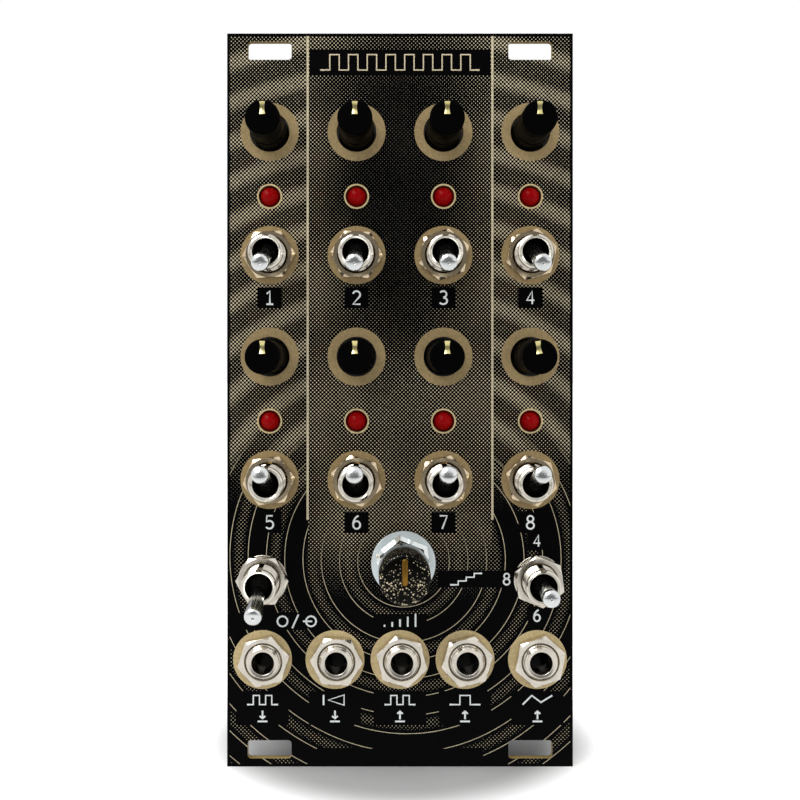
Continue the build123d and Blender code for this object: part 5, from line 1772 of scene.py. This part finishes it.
class MODULE_OT_stage(ModuleOperator, bpy.types.Operator):
    """Set up the pale floor, the lamps and the camera"""

    bl_idname = "module.stage"
    bl_label = "Stage"

    def execute(self, context):
        sizes = context.scene.module_stage
        floor = bmesh.new()
        bmesh.ops.create_circle(floor, cap_ends=True, segments=96, radius=sizes.floor_radius)
        bmesh.ops.translate(floor, vec=(0, 0, panel_low.z - 0.02 * MM), verts=floor.verts)
        mesh = bpy.data.meshes.new("floor")
        floor.to_mesh(mesh)
        floor.free()
        mesh.materials.append(studio_floor(sizes))
        ground = bpy.data.objects.new("floor", mesh)
        context.scene.collection.objects.link(ground)
        self.add_world(context)
        reach = sizes.lamp_reach
        for name, place, size, power, mirrored in (
            ("key", (-0.6, -0.75, 0.9), 1.0, 1.9, True),
            ("fill", (0.95, -0.55, 0.25), 0.8, 0.8, False),
            ("top", (0.1, -0.25, 1.25), 0.9, 1.2, False),
            ("back", (-0.8, 0.95, 0.55), 1.0, 1.4, False),
            ("glint", (-0.72, -0.2, 0.9), 0.5, 0.6, True),
        ):
            lamp = bpy.data.lights.new(name, "AREA")
            lamp.shape = "DISK"
            lamp.size = size * reach
            lamp.energy = power
            holder = bpy.data.objects.new(name, lamp)
            holder.location = Vector(place) * reach
            holder.visible_glossy = mirrored
            holder.rotation_euler = (-Vector(place)).to_track_quat("-Z", "Y").to_euler()
            context.scene.collection.objects.link(holder)
        camera = bpy.data.cameras.new("camera")
        camera.lens = camera.sensor_width * sizes.distance / sizes.frame_height
        camera.shift_x = -sizes.camera_x / sizes.frame_height
        camera.shift_y = -sizes.camera_z / sizes.frame_height
        holder = bpy.data.objects.new("camera", camera)
        holder.location = (sizes.camera_x, panel_low.y - sizes.distance, sizes.camera_z)
        holder.rotation_euler = (math.pi / 2, 0, 0)
        context.scene.collection.objects.link(holder)
        context.scene.camera = holder
        context.scene.view_settings.view_transform = "Standard"
        return {"FINISHED"}

    def add_world(self, context):
        """White to the eye and in reflections, darker straight in front and behind, and a soft light."""
        world = bpy.data.worlds.new("studio")
        context.scene.world = world
        world.use_nodes = True
        tree = world.node_tree
        tree.nodes.clear()
        rays = add_node(tree, "ShaderNodeLightPath")
        ahead = add_node(
            tree, "ShaderNodeSeparateXYZ", {0: add_node(tree, "ShaderNodeTexCoord").outputs["Generated"]}
        )
        facing = add_node(tree, "ShaderNodeMath", {0: ahead.outputs["Y"]}, operation="ABSOLUTE")
        mirror = add_node(
            tree, "ShaderNodeMapRange",
            {"Value": facing, "From Min": 0.97, "From Max": 0.68, "To Min": 0.2, "To Max": 1.0},
            interpolation_type="SMOOTHSTEP",
        )
        light = add_node(tree, "ShaderNodeBackground", {"Color": (1, 1, 1, 1), "Strength": 0.55})
        white = add_node(tree, "ShaderNodeBackground", {"Color": (1, 1, 1, 1), "Strength": 1.0})
        seen = add_node(tree, "ShaderNodeBackground", {"Color": mirror, "Strength": 1.0})
        through = add_node(
            tree, "ShaderNodeMath",
            {0: rays.outputs["Is Glossy Ray"], 1: rays.outputs["Is Transmission Ray"]}, operation="MAXIMUM",
        )
        lit = add_node(tree, "ShaderNodeMixShader", {0: through, 1: light, 2: seen})
        shown = add_node(tree, "ShaderNodeMixShader", {0: rays.outputs["Is Camera Ray"], 1: lit, 2: white})
        add_node(tree, "ShaderNodeOutputWorld", {"Surface": shown})


def studio_floor(sizes):
    """Matt paper: white to the eye away from the module, with a painted shadow in its colour near the module,
    dimmer far in front in reflections.
    """
    # Uncoated paper gives an even, pale ground; near the module the colour that the camera sees is darkened
    # into a painted shadow
    material = bpy.data.materials.new("matt_paper")
    material.use_nodes = True
    tree = material.node_tree
    tree.nodes.clear()
    rays = add_node(tree, "ShaderNodeLightPath")
    place = add_node(tree, "ShaderNodeTexCoord").outputs["Object"]
    paper = add_node(tree, "ShaderNodeBsdfDiffuse", {"Color": tuple(sizes.floor)})
    away = add_node(
        tree, "ShaderNodeMapping",
        {"Vector": place, "Location": (0, -cad_high.y / 2, 0), "Scale": (1.15, 1, 0)},
    )
    away = add_node(tree, "ShaderNodeVectorMath", {0: away}, operation="LENGTH")
    clear = add_node(
        tree, "ShaderNodeMapRange",
        {"Value": away.outputs["Value"], "From Min": 30 * MM, "From Max": 54 * MM},
        interpolation_type="SMOOTHSTEP",
    )
    glow = add_node(tree, "ShaderNodeEmission", {"Color": (1, 1, 1, 1), "Strength": clear})
    # Painted shadow: the paper's colour darkens towards the module, only where the camera sees it
    shade = add_node(
        tree, "ShaderNodeMix", {"Factor": clear, 6: tuple(sizes.near_floor), 7: tuple(sizes.floor)},
        data_type="RGBA",
    )
    paper_with_painted_shade = add_node(tree, "ShaderNodeBsdfDiffuse", {"Color": shade.outputs[2]})
    bright = add_node(tree, "ShaderNodeAddShader", {0: paper_with_painted_shade, 1: glow})
    front = add_node(tree, "ShaderNodeSeparateXYZ", {0: place})
    dim = add_node(
        tree, "ShaderNodeMapRange",
        {"Value": front.outputs["Y"], "From Min": -420 * MM, "From Max": -60 * MM,
         "To Min": 0.2, "To Max": 1.0},
        interpolation_type="SMOOTHSTEP",
    )
    mirrored = add_node(tree, "ShaderNodeEmission", {"Color": (1, 1, 1, 1), "Strength": dim})
    reflected = add_node(
        tree, "ShaderNodeMath",
        {0: rays.outputs["Is Glossy Ray"], 1: rays.outputs["Is Transmission Ray"]}, operation="MAXIMUM",
    )
    mixed = add_node(tree, "ShaderNodeMixShader", {0: rays.outputs["Is Camera Ray"], 1: paper, 2: bright})
    mixed = add_node(tree, "ShaderNodeMixShader", {0: reflected, 1: mixed, 2: mirrored})
    add_node(tree, "ShaderNodeOutputMaterial", {"Surface": mixed})
    return material


OPERATORS = (
    MODULE_OT_panel,
    MODULE_OT_signs,
    MODULE_OT_step_knobs,
    MODULE_OT_rate_control,
    MODULE_OT_switches,
    MODULE_OT_levers,
    MODULE_OT_lamps,
    MODULE_OT_jacks,
    MODULE_OT_boards,
    MODULE_OT_control_backs,
    MODULE_OT_links,
    MODULE_OT_chips,
    MODULE_OT_board_parts,
    MODULE_OT_stage,
)


class MODULE_PT_pieces(bpy.types.Panel):
    """Lists the module's pieces"""

    bl_label = "Module"
    bl_idname = "MODULE_PT_pieces"
    bl_space_type = "VIEW_3D"
    bl_region_type = "UI"
    bl_category = "Module"

    def draw(self, context):
        for operator in OPERATORS:
            self.layout.operator(operator.bl_idname)
        for group in GROUPS:
            settings = getattr(context.scene, group)
            column = self.layout.column()
            for name in settings.bl_rna.properties.keys():
                if name not in ("rna_type", "name"):
                    column.prop(settings, name)


def register():
    """Register the settings, the operators and the sidebar's panel."""
    for name, group in GROUPS.items():
        bpy.utils.register_class(group)
        setattr(bpy.types.Scene, name, PointerProperty(type=group))
    for operator in OPERATORS:
        bpy.utils.register_class(operator)
    bpy.utils.register_class(MODULE_PT_pieces)


def unregister():
    """Take everything back in the opposite order."""
    bpy.utils.unregister_class(MODULE_PT_pieces)
    for operator in reversed(OPERATORS):
        bpy.utils.unregister_class(operator)
    for name, group in reversed(GROUPS.items()):
        delattr(bpy.types.Scene, name)
        bpy.utils.unregister_class(group)


def main():
    """Build every piece and the stage."""
    register()
    for operator in OPERATORS:
        category, name = operator.bl_idname.split(".")
        getattr(getattr(bpy.ops, category), name)()


if __name__ == "__main__":
    main()
